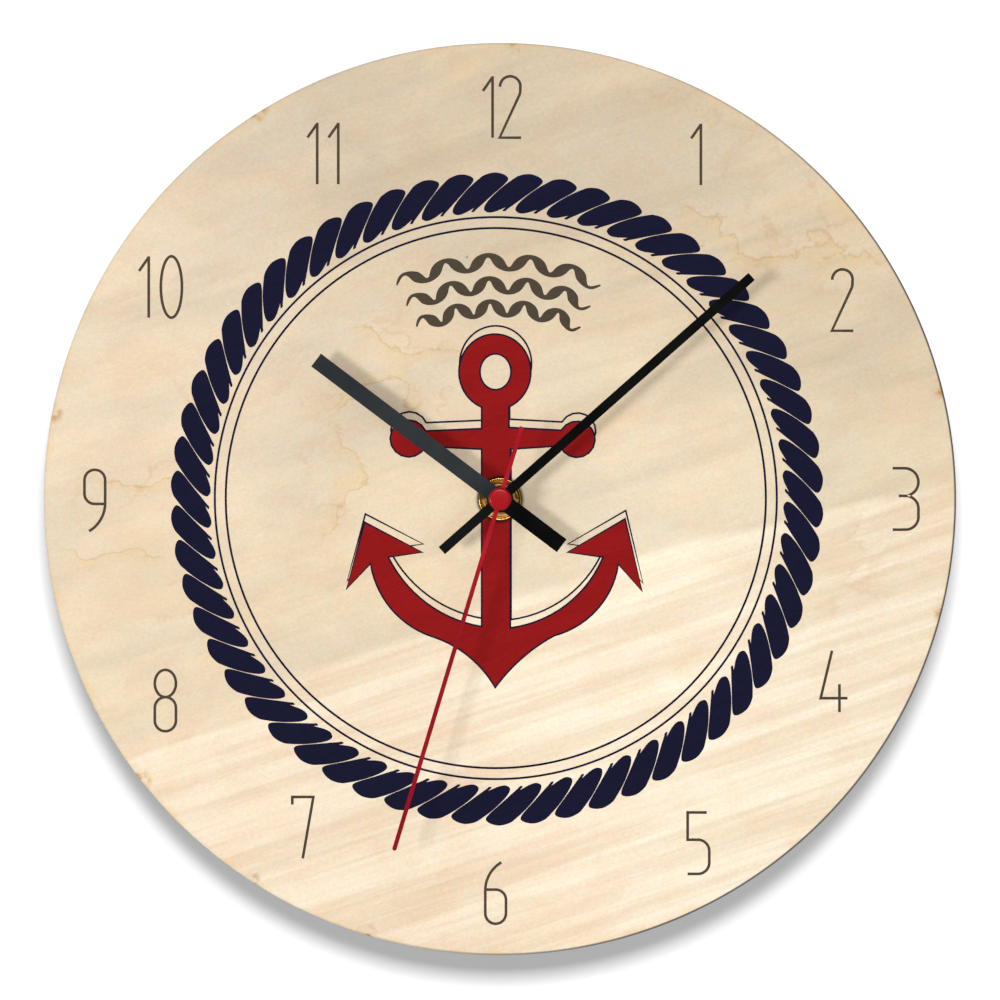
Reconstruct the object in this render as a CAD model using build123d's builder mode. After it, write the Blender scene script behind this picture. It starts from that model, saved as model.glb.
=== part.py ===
"""Battery wall clock: a plywood dial clamped to a quartz movement, with three hands on coaxial arbors.

Millimetres. The dial faces -Y, +Z is up and +X is to the right as the dial is seen.
The origin lies on the hand axis in the wall plane, which is the back face of the movement.
A level is a distance out from the wall. Hand angles run clockwise from twelve, directions of axes
run anticlockwise from +X, both as the dial is seen.
"""
import os
from collections import namedtuple
from math import cos, pi, radians, sin

from build123d import *

# Dial and the stack that clamps it
DIAL_DIAMETER = 300.0
DIAL_THICKNESS = 6.0
DIAL_EDGE_ROUND = 0.3
HANGER_THICKNESS = 1.0
HANGER_WIDTH = 20.0
HANGING_HOLE_DIAMETER = 9.0
HANGING_HOLE_RISE = 9.0
PAD_DIAMETER = 24.0
PAD_THICKNESS = 2.0
WASHER_DIAMETER = 14.0
WASHER_THICKNESS = 0.6
NUT_FLATS = 11.0
NUT_THICKNESS = 2.4
NUT_CHAMFER = 0.4
THREAD_DIAMETER = 8.0
THREAD_PROUD = 0.5
THREAD_CHAMFER = 0.3
COLLAR_DIAMETER = 11.0
COLLAR_THICKNESS = 1.0

# Hands
HOUR_ANGLE = 307.1
HOUR_REACH = 75.7
HOUR_TAIL = 25.4
HOUR_WIDTH = 5.3
HOUR_EYE_DIAMETER = 8.8
MINUTE_ANGLE = 48.5
MINUTE_REACH = 110.2
MINUTE_TAIL = 25.5
MINUTE_WIDTH = 3.15
MINUTE_EYE_DIAMETER = 6.4
SECOND_ANGLE = 196.8
SECOND_REACH = 120.3
SECOND_TAIL = 24.8
SECOND_WIDTH = 1.45
SECOND_EYE_DIAMETER = 3.6
HAND_THICKNESS = 0.4
SECOND_THICKNESS = 0.3
COLLET_LENGTH = 1.6
COLLET_WALL = 0.8
TUBE_WALL = 0.5
CAP_DIAMETER = 7.5
CAP_THICKNESS = 1.6
CAP_ROUND = 0.6

# Coaxial arbors and their fits
SECOND_ARBOR_DIAMETER = 1.0
MINUTE_ARBOR_DIAMETER = 3.2
HOUR_PIPE_DIAMETER = 5.0
RUNNING_GAP = 0.06
SEAT_GAP = 0.03
HAND_GAP = 0.4
ARBOR_STEP = 0.2

# Gear train
SECOND_PINION_TEETH = 8
THIRD_TEETH = 64
THIRD_PINION_TEETH = 8
CENTRE_TEETH = 60
INTERMEDIATE_PINION_TEETH = 10
SECOND_TEETH = 50
ROTOR_PINION_TEETH = 8
INTERMEDIATE_TEETH = 48
CANNON_TEETH = 12
MOTION_TEETH = 36
MOTION_PINION_TEETH = 10
HOUR_TEETH = 40
SETTING_TEETH = 12
THIRD_CENTRE_DISTANCE = 10.0
THIRD_DIRECTION = 0.0
INTERMEDIATE_CENTRE_DISTANCE = 10.0
INTERMEDIATE_DIRECTION = 120.0
ROTOR_CENTRE_DISTANCE = 8.4
ROTOR_DIRECTION = 80.0
MOTION_CENTRE_DISTANCE = 11.0
MOTION_DIRECTION = 180.0
SETTING_DIRECTION = 150.0
WHEEL_THICKNESS = 0.8
LAYER_GAP = 0.4
PINION_OVERLAP = 0.2
END_SHAKE = 0.3
ARBOR_DIAMETER = 1.2
ROTOR_ARBOR_DIAMETER = 1.0
MOTION_ARBOR_DIAMETER = 1.6
HUB_WALL = 1.0
HUB_STEP = 0.4

# Tooth form in modules, tooth width as a share of the pitch
ADDENDUM = 0.85
DEDENDUM = 1.25
TOOTH_SHARE = 0.40
TOOTH_TAPER = 0.40
HALF_TURN = 180.0

# Case of the movement
BACK_WALL = 1.2
CASE_WALL = 1.4
CASE_CORNER = 3.0
PARTITION = 1.2
COVER_THICKNESS = 1.8
PLATE_THICKNESS = 1.0
PIVOT_BOSS = 0.6
PIVOT_BOSS_WALL = 0.9
PIVOT_FLOOR = 0.6
WALL_GAP = 1.0
MOULD_GAP = 0.15
PILLAR_DIAMETER = 4.0
PILLAR_INSET = 2.5
PILLAR_PIN_DIAMETER = 1.6
LIP_THICKNESS = 1.2
LIP_HEIGHT = 1.5
BARB_WIDTH = 8.0
BARB_HEIGHT = 0.8
BARB_REACH = 0.9
BARB_GAP = 0.2
BARB_SPREAD = 14.0

# Setting knob
KNOB_DIAMETER = 10.0
KNOB_THICKNESS = 2.2
KNOB_RECESS = 0.4
KNOB_GAP = 0.6
KNOB_FLUTES = 20
FLUTE_DIAMETER = 0.9
KNOB_SHAFT_DIAMETER = 2.4
WELL_WALL = 1.0
WELL_FLOOR = 1.2
MARK_DEPTH = 0.3
ARROW_WIDTH = 1.0
ARROW_SWEEP = 70.0
ARROW_HEAD = 2.4
ARROW_HEAD_ANGLE = 60.0
POLARITY_SIZE = 4.0
POLARITY_BAR = 0.9

# Cell and its contacts
BATTERY_DIAMETER = 14.2
BATTERY_LENGTH = 50.5
BATTERY_GAP = 0.3
BATTERY_ROUND = 0.5
BUTTON_DIAMETER = 5.5
BUTTON_LENGTH = 1.0
SLEEVE_THICKNESS = 0.4
SLEEVE_MARGIN = 0.7
NEGATIVE_ROOM = 1.9
POSITIVE_ROOM = 0.6
CONTACT_THICKNESS = 0.3
CONTACT_TOUCH = 0.15
CONTACT_TAB = 8.0
CONTACT_SLOT_GAP = 0.2
STRIP_WIDTH = 1.6
STRIP_END = 6.0

# Motor and board
MAGNET_DIAMETER = 6.0
MAGNET_THICKNESS = 2.0
STATOR_HOLE_GAP = 0.5
STATOR_THICKNESS = 1.0
STATOR_LENGTH = 25.0
STATOR_WIDTH = 8.4
STATOR_ARM = 4.0
CORE_THICKNESS = 1.0
CORE_HEIGHT = 2.0
COIL_FLANGE_DIAMETER = 5.2
COIL_FLANGE_THICKNESS = 0.8
COIL_TUBE_DIAMETER = 3.4
COIL_WINDING_DIAMETER = 4.9
COIL_GAP = 0.3
BOARD_THICKNESS = 1.0
BOARD_HEIGHT = 24.0
BOARD_GAP = 2.0
CHIP_DIAMETER = 6.0
CHIP_HEIGHT = 1.0
CHIP_ROUND = 0.7
CRYSTAL_DIAMETER = 2.0
CRYSTAL_LENGTH = 6.0

Ring = namedtuple("Ring", "teeth module turn level thickness")
Shoulder = namedtuple("Shoulder", "radius level thickness")


def layer(level, centre=(0.0, 0.0)):
    """Plane parallel to the dial with its origin on an axis, facing the viewer."""
    return Plane(origin=(centre[0], -level, centre[1]), x_dir=(1, 0, 0), z_dir=(0, -1, 0))


def hand_plane(level, clockwise):
    """Plane parallel to the dial on the hand axis, its x running out along a hand."""
    turn = radians(clockwise)
    return Plane(origin=(0, -level, 0), x_dir=(sin(turn), 0, cos(turn)), z_dir=(0, -1, 0))


def side_plane(x):
    """Upright plane square to the dial at one x: its x is the level, its y is up, it faces -X."""
    return Plane(origin=(x, 0, 0), x_dir=(0, -1, 0), z_dir=(-1, 0, 0))


def polar(centre, distance, direction):
    """Point at a distance and direction from a centre."""
    turn = radians(direction)
    return (centre[0] + distance * cos(turn), centre[1] + distance * sin(turn))


def module_for(centres, first_teeth, second_teeth):
    """Module that puts two gears on the given centre distance."""
    return 2 * centres / (first_teeth + second_teeth)


def tip_radius(teeth, module):
    """Radius over the tooth tips."""
    return module * (teeth / 2 + ADDENDUM)


def meshing_turn(driver_teeth, driver_turn, teeth, direction):
    """Turn of a gear whose gaps take the driver's teeth, at a direction from the driver."""
    return direction + HALF_TURN - driver_teeth / teeth * (driver_turn - direction) - HALF_TURN / teeth


def gear_outline(teeth, module, turn):
    """Clock tooth outline: flanks radial up to the pitch circle, tapering from there to the tip."""
    pitch_radius = module * teeth / 2
    root_radius = pitch_radius - DEDENDUM * module
    tip = tip_radius(teeth, module)
    half_tooth = TOOTH_SHARE * pi / teeth
    half_tip = half_tooth * TOOTH_TAPER * pitch_radius / tip
    flank = ((root_radius, half_tooth), (pitch_radius, half_tooth), (tip, half_tip))
    points = []
    for tooth in range(teeth):
        middle = radians(turn) + 2 * pi * tooth / teeth
        for radius, half in flank:
            points.append((radius * cos(middle - half), radius * sin(middle - half)))
        for radius, half in reversed(flank):
            points.append((radius * cos(middle + half), radius * sin(middle + half)))
    with BuildSketch() as outline:
        with BuildLine():
            Polyline(*points, close=True)
        make_face()
    return outline.sketch


def toothed_piece(axis, rings, arbor_radius, arbor_back, arbor_front, bore_radius=0.0, shoulders=()):
    """Toothed rings and round shoulders on one arbor, bored right through if a bore is given."""
    with BuildPart() as piece:
        for ring in rings:
            with BuildSketch(layer(ring.level, axis)):
                add(gear_outline(ring.teeth, ring.module, ring.turn))
            extrude(amount=ring.thickness)
        for shoulder in shoulders:
            with BuildSketch(layer(shoulder.level, axis)):
                Circle(shoulder.radius)
            extrude(amount=shoulder.thickness)
        with BuildSketch(layer(arbor_back, axis)):
            Circle(arbor_radius)
        extrude(amount=arbor_front - arbor_back)
        if bore_radius:
            with BuildSketch(layer(arbor_back, axis)):
                Circle(bore_radius)
            extrude(amount=arbor_front - arbor_back, mode=Mode.SUBTRACT)
    return piece


def sleeve(back, front, outer_radius, bore_radius):
    """Plain tube on the hand axis."""
    with BuildPart() as piece:
        with BuildSketch(layer(back)):
            Circle(outer_radius)
            Circle(bore_radius, mode=Mode.SUBTRACT)
        extrude(amount=front - back)
    return piece


def baton(level, clockwise, reach, tail, width, eye_diameter, bore_radius):
    """Straight hand with square ends, a round eye and the bore for its arbor."""
    with BuildPart() as piece:
        with BuildSketch(hand_plane(level, clockwise)):
            with Locations(((reach - tail) / 2, 0)):
                Rectangle(reach + tail, width)
            Circle(eye_diameter / 2)
            Circle(bore_radius, mode=Mode.SUBTRACT)
        extrude(amount=HAND_THICKNESS)
    return piece


# Axes of the train
hand_axis = (0.0, 0.0)
third_axis = polar(hand_axis, THIRD_CENTRE_DISTANCE, THIRD_DIRECTION)
intermediate_axis = polar(hand_axis, INTERMEDIATE_CENTRE_DISTANCE, INTERMEDIATE_DIRECTION)
rotor_axis = polar(intermediate_axis, ROTOR_CENTRE_DISTANCE, ROTOR_DIRECTION)
motion_axis = polar(hand_axis, MOTION_CENTRE_DISTANCE, MOTION_DIRECTION)

# Modules and tip radii
second_third_module = module_for(THIRD_CENTRE_DISTANCE, SECOND_PINION_TEETH, THIRD_TEETH)
third_centre_module = module_for(THIRD_CENTRE_DISTANCE, THIRD_PINION_TEETH, CENTRE_TEETH)
intermediate_second_module = module_for(
    INTERMEDIATE_CENTRE_DISTANCE, INTERMEDIATE_PINION_TEETH, SECOND_TEETH)
rotor_intermediate_module = module_for(ROTOR_CENTRE_DISTANCE, ROTOR_PINION_TEETH, INTERMEDIATE_TEETH)
cannon_motion_module = module_for(MOTION_CENTRE_DISTANCE, CANNON_TEETH, MOTION_TEETH)
motion_hour_module = module_for(MOTION_CENTRE_DISTANCE, MOTION_PINION_TEETH, HOUR_TEETH)
setting_centres = cannon_motion_module * (MOTION_TEETH + SETTING_TEETH) / 2
setting_axis = polar(motion_axis, setting_centres, SETTING_DIRECTION)
hour_tip = tip_radius(HOUR_TEETH, motion_hour_module)
wheel_reaches = (
    hour_tip - hand_axis[1],
    tip_radius(SECOND_TEETH, intermediate_second_module) - hand_axis[1],
    tip_radius(CENTRE_TEETH, third_centre_module) - hand_axis[1],
    tip_radius(THIRD_TEETH, second_third_module) - third_axis[1],
    tip_radius(MOTION_TEETH, cannon_motion_module) - motion_axis[1],
)

# Turn of every toothed ring, so that each mesh has a tooth in a gap
second_pinion_turn = THIRD_DIRECTION
third_turn = meshing_turn(SECOND_PINION_TEETH, second_pinion_turn, THIRD_TEETH, THIRD_DIRECTION)
third_pinion_turn = THIRD_DIRECTION + HALF_TURN
centre_turn = meshing_turn(THIRD_PINION_TEETH, third_pinion_turn, CENTRE_TEETH, THIRD_DIRECTION + HALF_TURN)
intermediate_pinion_turn = INTERMEDIATE_DIRECTION + HALF_TURN
second_turn = meshing_turn(
    INTERMEDIATE_PINION_TEETH, intermediate_pinion_turn, SECOND_TEETH, INTERMEDIATE_DIRECTION + HALF_TURN)
rotor_pinion_turn = ROTOR_DIRECTION + HALF_TURN
intermediate_turn = meshing_turn(
    ROTOR_PINION_TEETH, rotor_pinion_turn, INTERMEDIATE_TEETH, ROTOR_DIRECTION + HALF_TURN)
cannon_turn = MOTION_DIRECTION
motion_turn = meshing_turn(CANNON_TEETH, cannon_turn, MOTION_TEETH, MOTION_DIRECTION)
motion_pinion_turn = MOTION_DIRECTION + HALF_TURN
hour_turn = meshing_turn(MOTION_PINION_TEETH, motion_pinion_turn, HOUR_TEETH, MOTION_DIRECTION + HALF_TURN)
setting_turn = meshing_turn(MOTION_TEETH, motion_turn, SETTING_TEETH, SETTING_DIRECTION)

# Levels of the running train, counted from the back wall
boss_front = BACK_WALL + PIVOT_BOSS
second_level = boss_front + LAYER_GAP
third_level = second_level + WHEEL_THICKNESS + LAYER_GAP
intermediate_level = third_level + WHEEL_THICKNESS + LAYER_GAP
centre_level = intermediate_level + WHEEL_THICKNESS + LAYER_GAP
centre_front = centre_level + WHEEL_THICKNESS
clutch_back = centre_front + LAYER_GAP / 2
clutch_front = clutch_back + LAYER_GAP
second_pinion_front = third_level + WHEEL_THICKNESS + PINION_OVERLAP
third_pinion_front = centre_front + PINION_OVERLAP
running_front = clutch_front + LAYER_GAP

# Levels of the motion work, counted back from the cover
motion_work_depth = (COLLAR_THICKNESS + END_SHAKE + HUB_STEP + 2 * WHEEL_THICKNESS + 2 * LAYER_GAP
                     + PINION_OVERLAP + PLATE_THICKNESS)
cover_back = max(BATTERY_DIAMETER + 2 * BATTERY_GAP, running_front + motion_work_depth)
cover_front = cover_back + COVER_THICKNESS
collar_back = cover_back - COLLAR_THICKNESS
hour_hub_front = collar_back - END_SHAKE
hour_front = hour_hub_front - HUB_STEP
hour_level = hour_front - WHEEL_THICKNESS
cannon_front = hour_level - LAYER_GAP
motion_front = cannon_front - PINION_OVERLAP
motion_level = motion_front - WHEEL_THICKNESS
cannon_level = motion_level - PINION_OVERLAP
motion_pinion_front = hour_front + PINION_OVERLAP
plate_front = motion_level - LAYER_GAP
plate_level = plate_front - PLATE_THICKNESS
board_front = plate_front + BOARD_THICKNESS

# Levels in front of the cover
pad_back = cover_front + HANGER_THICKNESS
dial_back = pad_back + PAD_THICKNESS
dial_front = dial_back + DIAL_THICKNESS
nut_back = dial_front + WASHER_THICKNESS
nut_front = nut_back + NUT_THICKNESS
bush_front = nut_front + THREAD_PROUD
hour_collet_back = bush_front + HAND_GAP
hour_blade_back = hour_collet_back + COLLET_LENGTH
hour_pipe_front = hour_blade_back + HAND_THICKNESS + ARBOR_STEP
minute_collet_back = hour_pipe_front + HAND_GAP
minute_blade_back = minute_collet_back + COLLET_LENGTH
minute_arbor_front = minute_blade_back + HAND_THICKNESS + ARBOR_STEP
second_tube_back = minute_arbor_front + HAND_GAP
second_blade_back = second_tube_back + COLLET_LENGTH
cap_back = second_blade_back + SECOND_THICKNESS

# Radii of the coaxial arbors
second_arbor_radius = SECOND_ARBOR_DIAMETER / 2
minute_arbor_radius = MINUTE_ARBOR_DIAMETER / 2
minute_bore_radius = second_arbor_radius + RUNNING_GAP
hour_pipe_radius = HOUR_PIPE_DIAMETER / 2
hour_bore_radius = minute_arbor_radius + RUNNING_GAP
bush_bore_radius = hour_pipe_radius + RUNNING_GAP
thread_radius = THREAD_DIAMETER / 2
thread_hole_radius = thread_radius + SEAT_GAP
arbor_radius = ARBOR_DIAMETER / 2
rotor_arbor_radius = ROTOR_ARBOR_DIAMETER / 2
motion_arbor_radius = MOTION_ARBOR_DIAMETER / 2
knob_shaft_radius = KNOB_SHAFT_DIAMETER / 2

# Outline of the case, worked out from what it holds
well_radius = KNOB_DIAMETER / 2 + KNOB_GAP
well_depth = KNOB_RECESS + KNOB_THICKNESS + KNOB_RECESS
coil_level = BACK_WALL + WALL_GAP / 2 + COIL_FLANGE_DIAMETER / 2
stator_front = coil_level - CORE_THICKNESS / 2
stator_level = stator_front - STATOR_THICKNESS
coil_z = rotor_axis[1] + STATOR_WIDTH / 2 + COIL_GAP + COIL_FLANGE_DIAMETER / 2
chamber_top = coil_z + COIL_FLANGE_DIAMETER / 2 + WALL_GAP / 2
chamber_floor = -max(wheel_reaches) - WALL_GAP
battery_width = NEGATIVE_ROOM + BATTERY_LENGTH + POSITIVE_ROOM
inner_half_width = max(battery_width / 2, well_radius - setting_axis[0])
bay_ceiling = chamber_floor - PARTITION
battery_z = bay_ceiling - BATTERY_GAP - BATTERY_DIAMETER / 2
battery_level = cover_back / 2
bay_floor = battery_z - BATTERY_DIAMETER / 2 - BATTERY_GAP
case_top = chamber_top + CASE_WALL
case_width = 2 * (inner_half_width + CASE_WALL)
case_height = case_top - bay_floor + CASE_WALL
case_centre = (0.0, (case_top + bay_floor - CASE_WALL) / 2)
chamber_height = chamber_top - chamber_floor
chamber_centre = (0.0, (chamber_top + chamber_floor) / 2)
bay_centre = (0.0, (bay_ceiling + bay_floor) / 2)
battery_start = NEGATIVE_ROOM - battery_width / 2
battery_end = battery_start + BATTERY_LENGTH
negative_x = battery_start - NEGATIVE_ROOM + CONTACT_TOUCH
positive_x = battery_end + CONTACT_TOUCH
board_left = hour_tip + BOARD_GAP
board_right = inner_half_width - MOULD_GAP
board_bottom = chamber_floor + MOULD_GAP
strip_level = board_front + STRIP_WIDTH / 2
hanging_z = case_top + HANGING_HOLE_RISE
pillar_x = inner_half_width - PILLAR_INSET
pillar_points = [
    (side * pillar_x, height)
    for side in (-1, 1)
    for height in (chamber_floor + PILLAR_INSET, chamber_top - PILLAR_INSET)
]
barb_back = cover_back - LIP_HEIGHT
barb_height_z = (chamber_top + coil_z) / 2 - BARB_SPREAD

# Pivots that run in the back wall and in the middle plate
train_pivots = [
    (third_axis, arbor_radius),
    (intermediate_axis, arbor_radius),
    (rotor_axis, rotor_arbor_radius),
]
back_pivots = train_pivots + [(hand_axis, second_arbor_radius)]
pivot_back = PIVOT_FLOOR + END_SHAKE / 2
pivot_front = plate_front - ARBOR_STEP

# Plywood dial
with BuildPart() as dial_disc:
    with BuildSketch(layer(dial_back)):
        Circle(DIAL_DIAMETER / 2)
        Circle(thread_hole_radius + ARBOR_STEP, mode=Mode.SUBTRACT)
    extrude(amount=DIAL_THICKNESS)
    fillet(dial_disc.edges().filter_by(GeomType.CIRCLE).sort_by(SortBy.RADIUS)[-2:], DIAL_EDGE_ROUND)

# Steel hanger behind the dial, with the hole for a nail
with BuildPart() as hanger_plate:
    with BuildSketch(layer(cover_front)):
        with Locations((0, hanging_z / 2)):
            SlotCenterToCenter(hanging_z, HANGER_WIDTH, rotation=90)
        Circle(thread_hole_radius, mode=Mode.SUBTRACT)
        with Locations((0, hanging_z)):
            Circle(HANGING_HOLE_DIAMETER / 2, mode=Mode.SUBTRACT)
    extrude(amount=HANGER_THICKNESS)

# Rings on the threaded neck
rubber_pad = sleeve(pad_back, dial_back, PAD_DIAMETER / 2, thread_hole_radius)
brass_washer = sleeve(dial_front, nut_back, WASHER_DIAMETER / 2, thread_hole_radius)

with BuildPart() as hex_nut:
    with BuildSketch(layer(nut_back)):
        RegularPolygon(NUT_FLATS / 2, 6, major_radius=False)
        Circle(thread_hole_radius, mode=Mode.SUBTRACT)
    extrude(amount=NUT_THICKNESS)
    chamfer(hex_nut.faces().sort_by(Axis.Y)[0].outer_wire().edges(), NUT_CHAMFER)

with BuildPart() as threaded_bush:
    with BuildSketch(layer(collar_back)):
        Circle(COLLAR_DIAMETER / 2)
    extrude(amount=COLLAR_THICKNESS)
    with BuildSketch(layer(cover_back)):
        Circle(thread_radius)
    extrude(amount=bush_front - cover_back)
    chamfer(threaded_bush.faces().sort_by(Axis.Y)[0].edges(), THREAD_CHAMFER)
    with BuildSketch(layer(collar_back)):
        Circle(bush_bore_radius)
    extrude(amount=bush_front - collar_back, mode=Mode.SUBTRACT)

# Box of the movement: gear chamber closed at the back, battery bay open to the back
with BuildPart() as rear_housing:
    with BuildSketch(layer(0, case_centre)):
        RectangleRounded(case_width, case_height, CASE_CORNER)
    extrude(amount=cover_back)
    with BuildSketch(layer(BACK_WALL, chamber_centre)):
        Rectangle(2 * inner_half_width, chamber_height)
    extrude(amount=cover_back - BACK_WALL, mode=Mode.SUBTRACT)
    with BuildSketch(layer(0, bay_centre)):
        Rectangle(2 * inner_half_width, bay_ceiling - bay_floor)
    extrude(amount=cover_back, mode=Mode.SUBTRACT)

    # Pillars that carry the middle plate, each with a locating pin
    with BuildSketch(layer(BACK_WALL)):
        with Locations(*pillar_points):
            Circle(PILLAR_DIAMETER / 2)
    extrude(amount=plate_level - BACK_WALL)
    with BuildSketch(layer(plate_level)):
        with Locations(*pillar_points):
            Circle(PILLAR_PIN_DIAMETER / 2)
    extrude(amount=PLATE_THICKNESS)

    # Bosses with blind pivot holes
    for pivot_axis, pivot_radius in back_pivots:
        with BuildSketch(layer(BACK_WALL, pivot_axis)):
            Circle(pivot_radius + PIVOT_BOSS_WALL)
        extrude(amount=PIVOT_BOSS)
        with BuildSketch(layer(PIVOT_FLOOR, pivot_axis)):
            Circle(pivot_radius + RUNNING_GAP)
        extrude(amount=boss_front - PIVOT_FLOOR, mode=Mode.SUBTRACT)

    # Well for the setting knob
    with BuildSketch(layer(0, setting_axis)):
        Circle(well_radius + WELL_WALL)
    extrude(amount=well_depth + WELL_FLOOR)
    with BuildSketch(layer(0, setting_axis)):
        Circle(well_radius)
    extrude(amount=well_depth, mode=Mode.SUBTRACT)
    with BuildSketch(layer(well_depth, setting_axis)):
        Circle(knob_shaft_radius + RUNNING_GAP)
    extrude(amount=WELL_FLOOR, mode=Mode.SUBTRACT)

    # Slots in the partition for the contact strips
    with BuildSketch(Plane.XY.offset(bay_ceiling)):
        for slot_x in (negative_x + CONTACT_THICKNESS / 2, positive_x + CONTACT_THICKNESS / 2):
            with Locations((slot_x, -strip_level)):
                Rectangle(CONTACT_THICKNESS + 2 * CONTACT_SLOT_GAP, STRIP_WIDTH + 2 * CONTACT_SLOT_GAP)
    extrude(amount=PARTITION, mode=Mode.SUBTRACT)

    # Windows that the barbs of the cover snap into
    with BuildSketch(layer(barb_back - BARB_GAP)):
        window_z = chamber_top + CASE_WALL / 2
        with Locations((-BARB_SPREAD, window_z), (BARB_SPREAD, window_z)):
            Rectangle(BARB_WIDTH + 2 * BARB_GAP, CASE_WALL)
        for side in (-1, 1):
            with Locations((side * (inner_half_width + CASE_WALL / 2), barb_height_z)):
                Rectangle(CASE_WALL, BARB_WIDTH + 2 * BARB_GAP)
    extrude(amount=BARB_HEIGHT + 2 * BARB_GAP, mode=Mode.SUBTRACT)

    # Moulded marks: setting arrow beside the knob, polarity signs above the bay
    arrow_radius = well_radius + WELL_WALL + ARROW_WIDTH
    arrow_end = polar((0, 0), arrow_radius, ARROW_SWEEP / 2)
    with BuildSketch(layer(0, setting_axis)):
        with BuildLine():
            CenterArc((0, 0), arrow_radius, -ARROW_SWEEP / 2, ARROW_SWEEP)
        trace(line_width=ARROW_WIDTH)
        with Locations(Location(arrow_end, ARROW_SWEEP / 2)):
            Triangle(a=ARROW_HEAD, B=ARROW_HEAD_ANGLE, C=ARROW_HEAD_ANGLE)
    extrude(amount=MARK_DEPTH, mode=Mode.SUBTRACT)
    polarity_z = chamber_floor + POLARITY_SIZE
    with BuildSketch(layer(0)):
        with Locations((pillar_x, polarity_z), (-pillar_x, polarity_z)):
            Rectangle(POLARITY_SIZE, POLARITY_BAR)
        with Locations((pillar_x, polarity_z)):
            Rectangle(POLARITY_BAR, POLARITY_SIZE)
    extrude(amount=MARK_DEPTH, mode=Mode.SUBTRACT)

# Lid of the movement with a lip and four barbs
with BuildPart() as front_cover:
    lip_half_width = inner_half_width - MOULD_GAP
    lip_height_z = chamber_height - 2 * MOULD_GAP
    lip_hollow_width = 2 * (lip_half_width - LIP_THICKNESS)
    with BuildSketch(layer(cover_back, case_centre)):
        RectangleRounded(case_width, case_height, CASE_CORNER)
    extrude(amount=COVER_THICKNESS)
    with BuildSketch(layer(cover_back - LIP_HEIGHT, chamber_centre)):
        Rectangle(2 * lip_half_width, lip_height_z)
        Rectangle(lip_hollow_width, lip_height_z - 2 * LIP_THICKNESS, mode=Mode.SUBTRACT)
    extrude(amount=LIP_HEIGHT)
    with BuildSketch(layer(barb_back)):
        barb_top = chamber_top - MOULD_GAP + BARB_REACH / 2
        with Locations((-BARB_SPREAD, barb_top), (BARB_SPREAD, barb_top)):
            Rectangle(BARB_WIDTH, BARB_REACH)
        for side in (-1, 1):
            with Locations((side * (lip_half_width + BARB_REACH / 2), barb_height_z)):
                Rectangle(BARB_REACH, BARB_WIDTH)
    extrude(amount=BARB_HEIGHT)

    # Front pivot of the motion wheel and the hole for the bush
    with BuildSketch(layer(motion_pinion_front + END_SHAKE, motion_axis)):
        Circle(motion_arbor_radius + PIVOT_BOSS_WALL)
    extrude(amount=cover_back - motion_pinion_front - END_SHAKE)
    with BuildSketch(layer(motion_pinion_front + END_SHAKE, motion_axis)):
        Circle(motion_arbor_radius + RUNNING_GAP)
    extrude(amount=cover_back - motion_pinion_front, mode=Mode.SUBTRACT)
    with BuildSketch(layer(cover_back)):
        Circle(thread_hole_radius)
    extrude(amount=COVER_THICKNESS, mode=Mode.SUBTRACT)

# Plate between the running train and the motion work
with BuildPart() as middle_plate:
    with BuildSketch(layer(plate_level, chamber_centre)):
        Rectangle(2 * (inner_half_width - MOULD_GAP), chamber_height - 2 * MOULD_GAP)
    extrude(amount=PLATE_THICKNESS)
    with BuildSketch(layer(plate_level)):
        Circle(minute_arbor_radius + RUNNING_GAP)
        with Locations(*pillar_points):
            Circle(PILLAR_PIN_DIAMETER / 2 + SEAT_GAP)
        with Locations(motion_axis):
            Circle(motion_arbor_radius + RUNNING_GAP)
        with Locations(setting_axis):
            Circle(knob_shaft_radius + RUNNING_GAP)
        for pivot_axis, pivot_radius in train_pivots:
            with Locations(pivot_axis):
                Circle(pivot_radius + RUNNING_GAP)
    extrude(amount=PLATE_THICKNESS, mode=Mode.SUBTRACT)

# Running train
second_wheel = toothed_piece(
    hand_axis,
    [
        Ring(SECOND_TEETH, intermediate_second_module, second_turn, second_level, WHEEL_THICKNESS),
        Ring(SECOND_PINION_TEETH, second_third_module, second_pinion_turn, second_level,
             second_pinion_front - second_level),
    ],
    second_arbor_radius + SEAT_GAP + TUBE_WALL / 2,
    second_level - ARBOR_STEP,
    second_pinion_front,
    second_arbor_radius + SEAT_GAP,
)
third_wheel = toothed_piece(
    third_axis,
    [
        Ring(THIRD_TEETH, second_third_module, third_turn, third_level, WHEEL_THICKNESS),
        Ring(THIRD_PINION_TEETH, third_centre_module, third_pinion_turn, third_level,
             third_pinion_front - third_level),
    ],
    arbor_radius,
    pivot_back,
    pivot_front,
)
intermediate_wheel = toothed_piece(
    intermediate_axis,
    [
        Ring(INTERMEDIATE_TEETH, rotor_intermediate_module, intermediate_turn, intermediate_level,
             WHEEL_THICKNESS),
        Ring(INTERMEDIATE_PINION_TEETH, intermediate_second_module, intermediate_pinion_turn,
             second_level - PINION_OVERLAP, WHEEL_THICKNESS + 2 * PINION_OVERLAP),
    ],
    arbor_radius,
    pivot_back,
    pivot_front,
)
centre_wheel = toothed_piece(
    hand_axis,
    [Ring(CENTRE_TEETH, third_centre_module, centre_turn, centre_level, WHEEL_THICKNESS)],
    minute_arbor_radius + RUNNING_GAP + HUB_WALL,
    centre_level - ARBOR_STEP,
    centre_front,
    minute_arbor_radius + RUNNING_GAP,
)
rotor_pinion = toothed_piece(
    rotor_axis,
    [
        Ring(ROTOR_PINION_TEETH, rotor_intermediate_module, rotor_pinion_turn,
             intermediate_level - PINION_OVERLAP, WHEEL_THICKNESS + 2 * PINION_OVERLAP),
    ],
    rotor_arbor_radius,
    pivot_back,
    pivot_front,
)
magnet_level = stator_level + (STATOR_THICKNESS - MAGNET_THICKNESS) / 2
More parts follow.
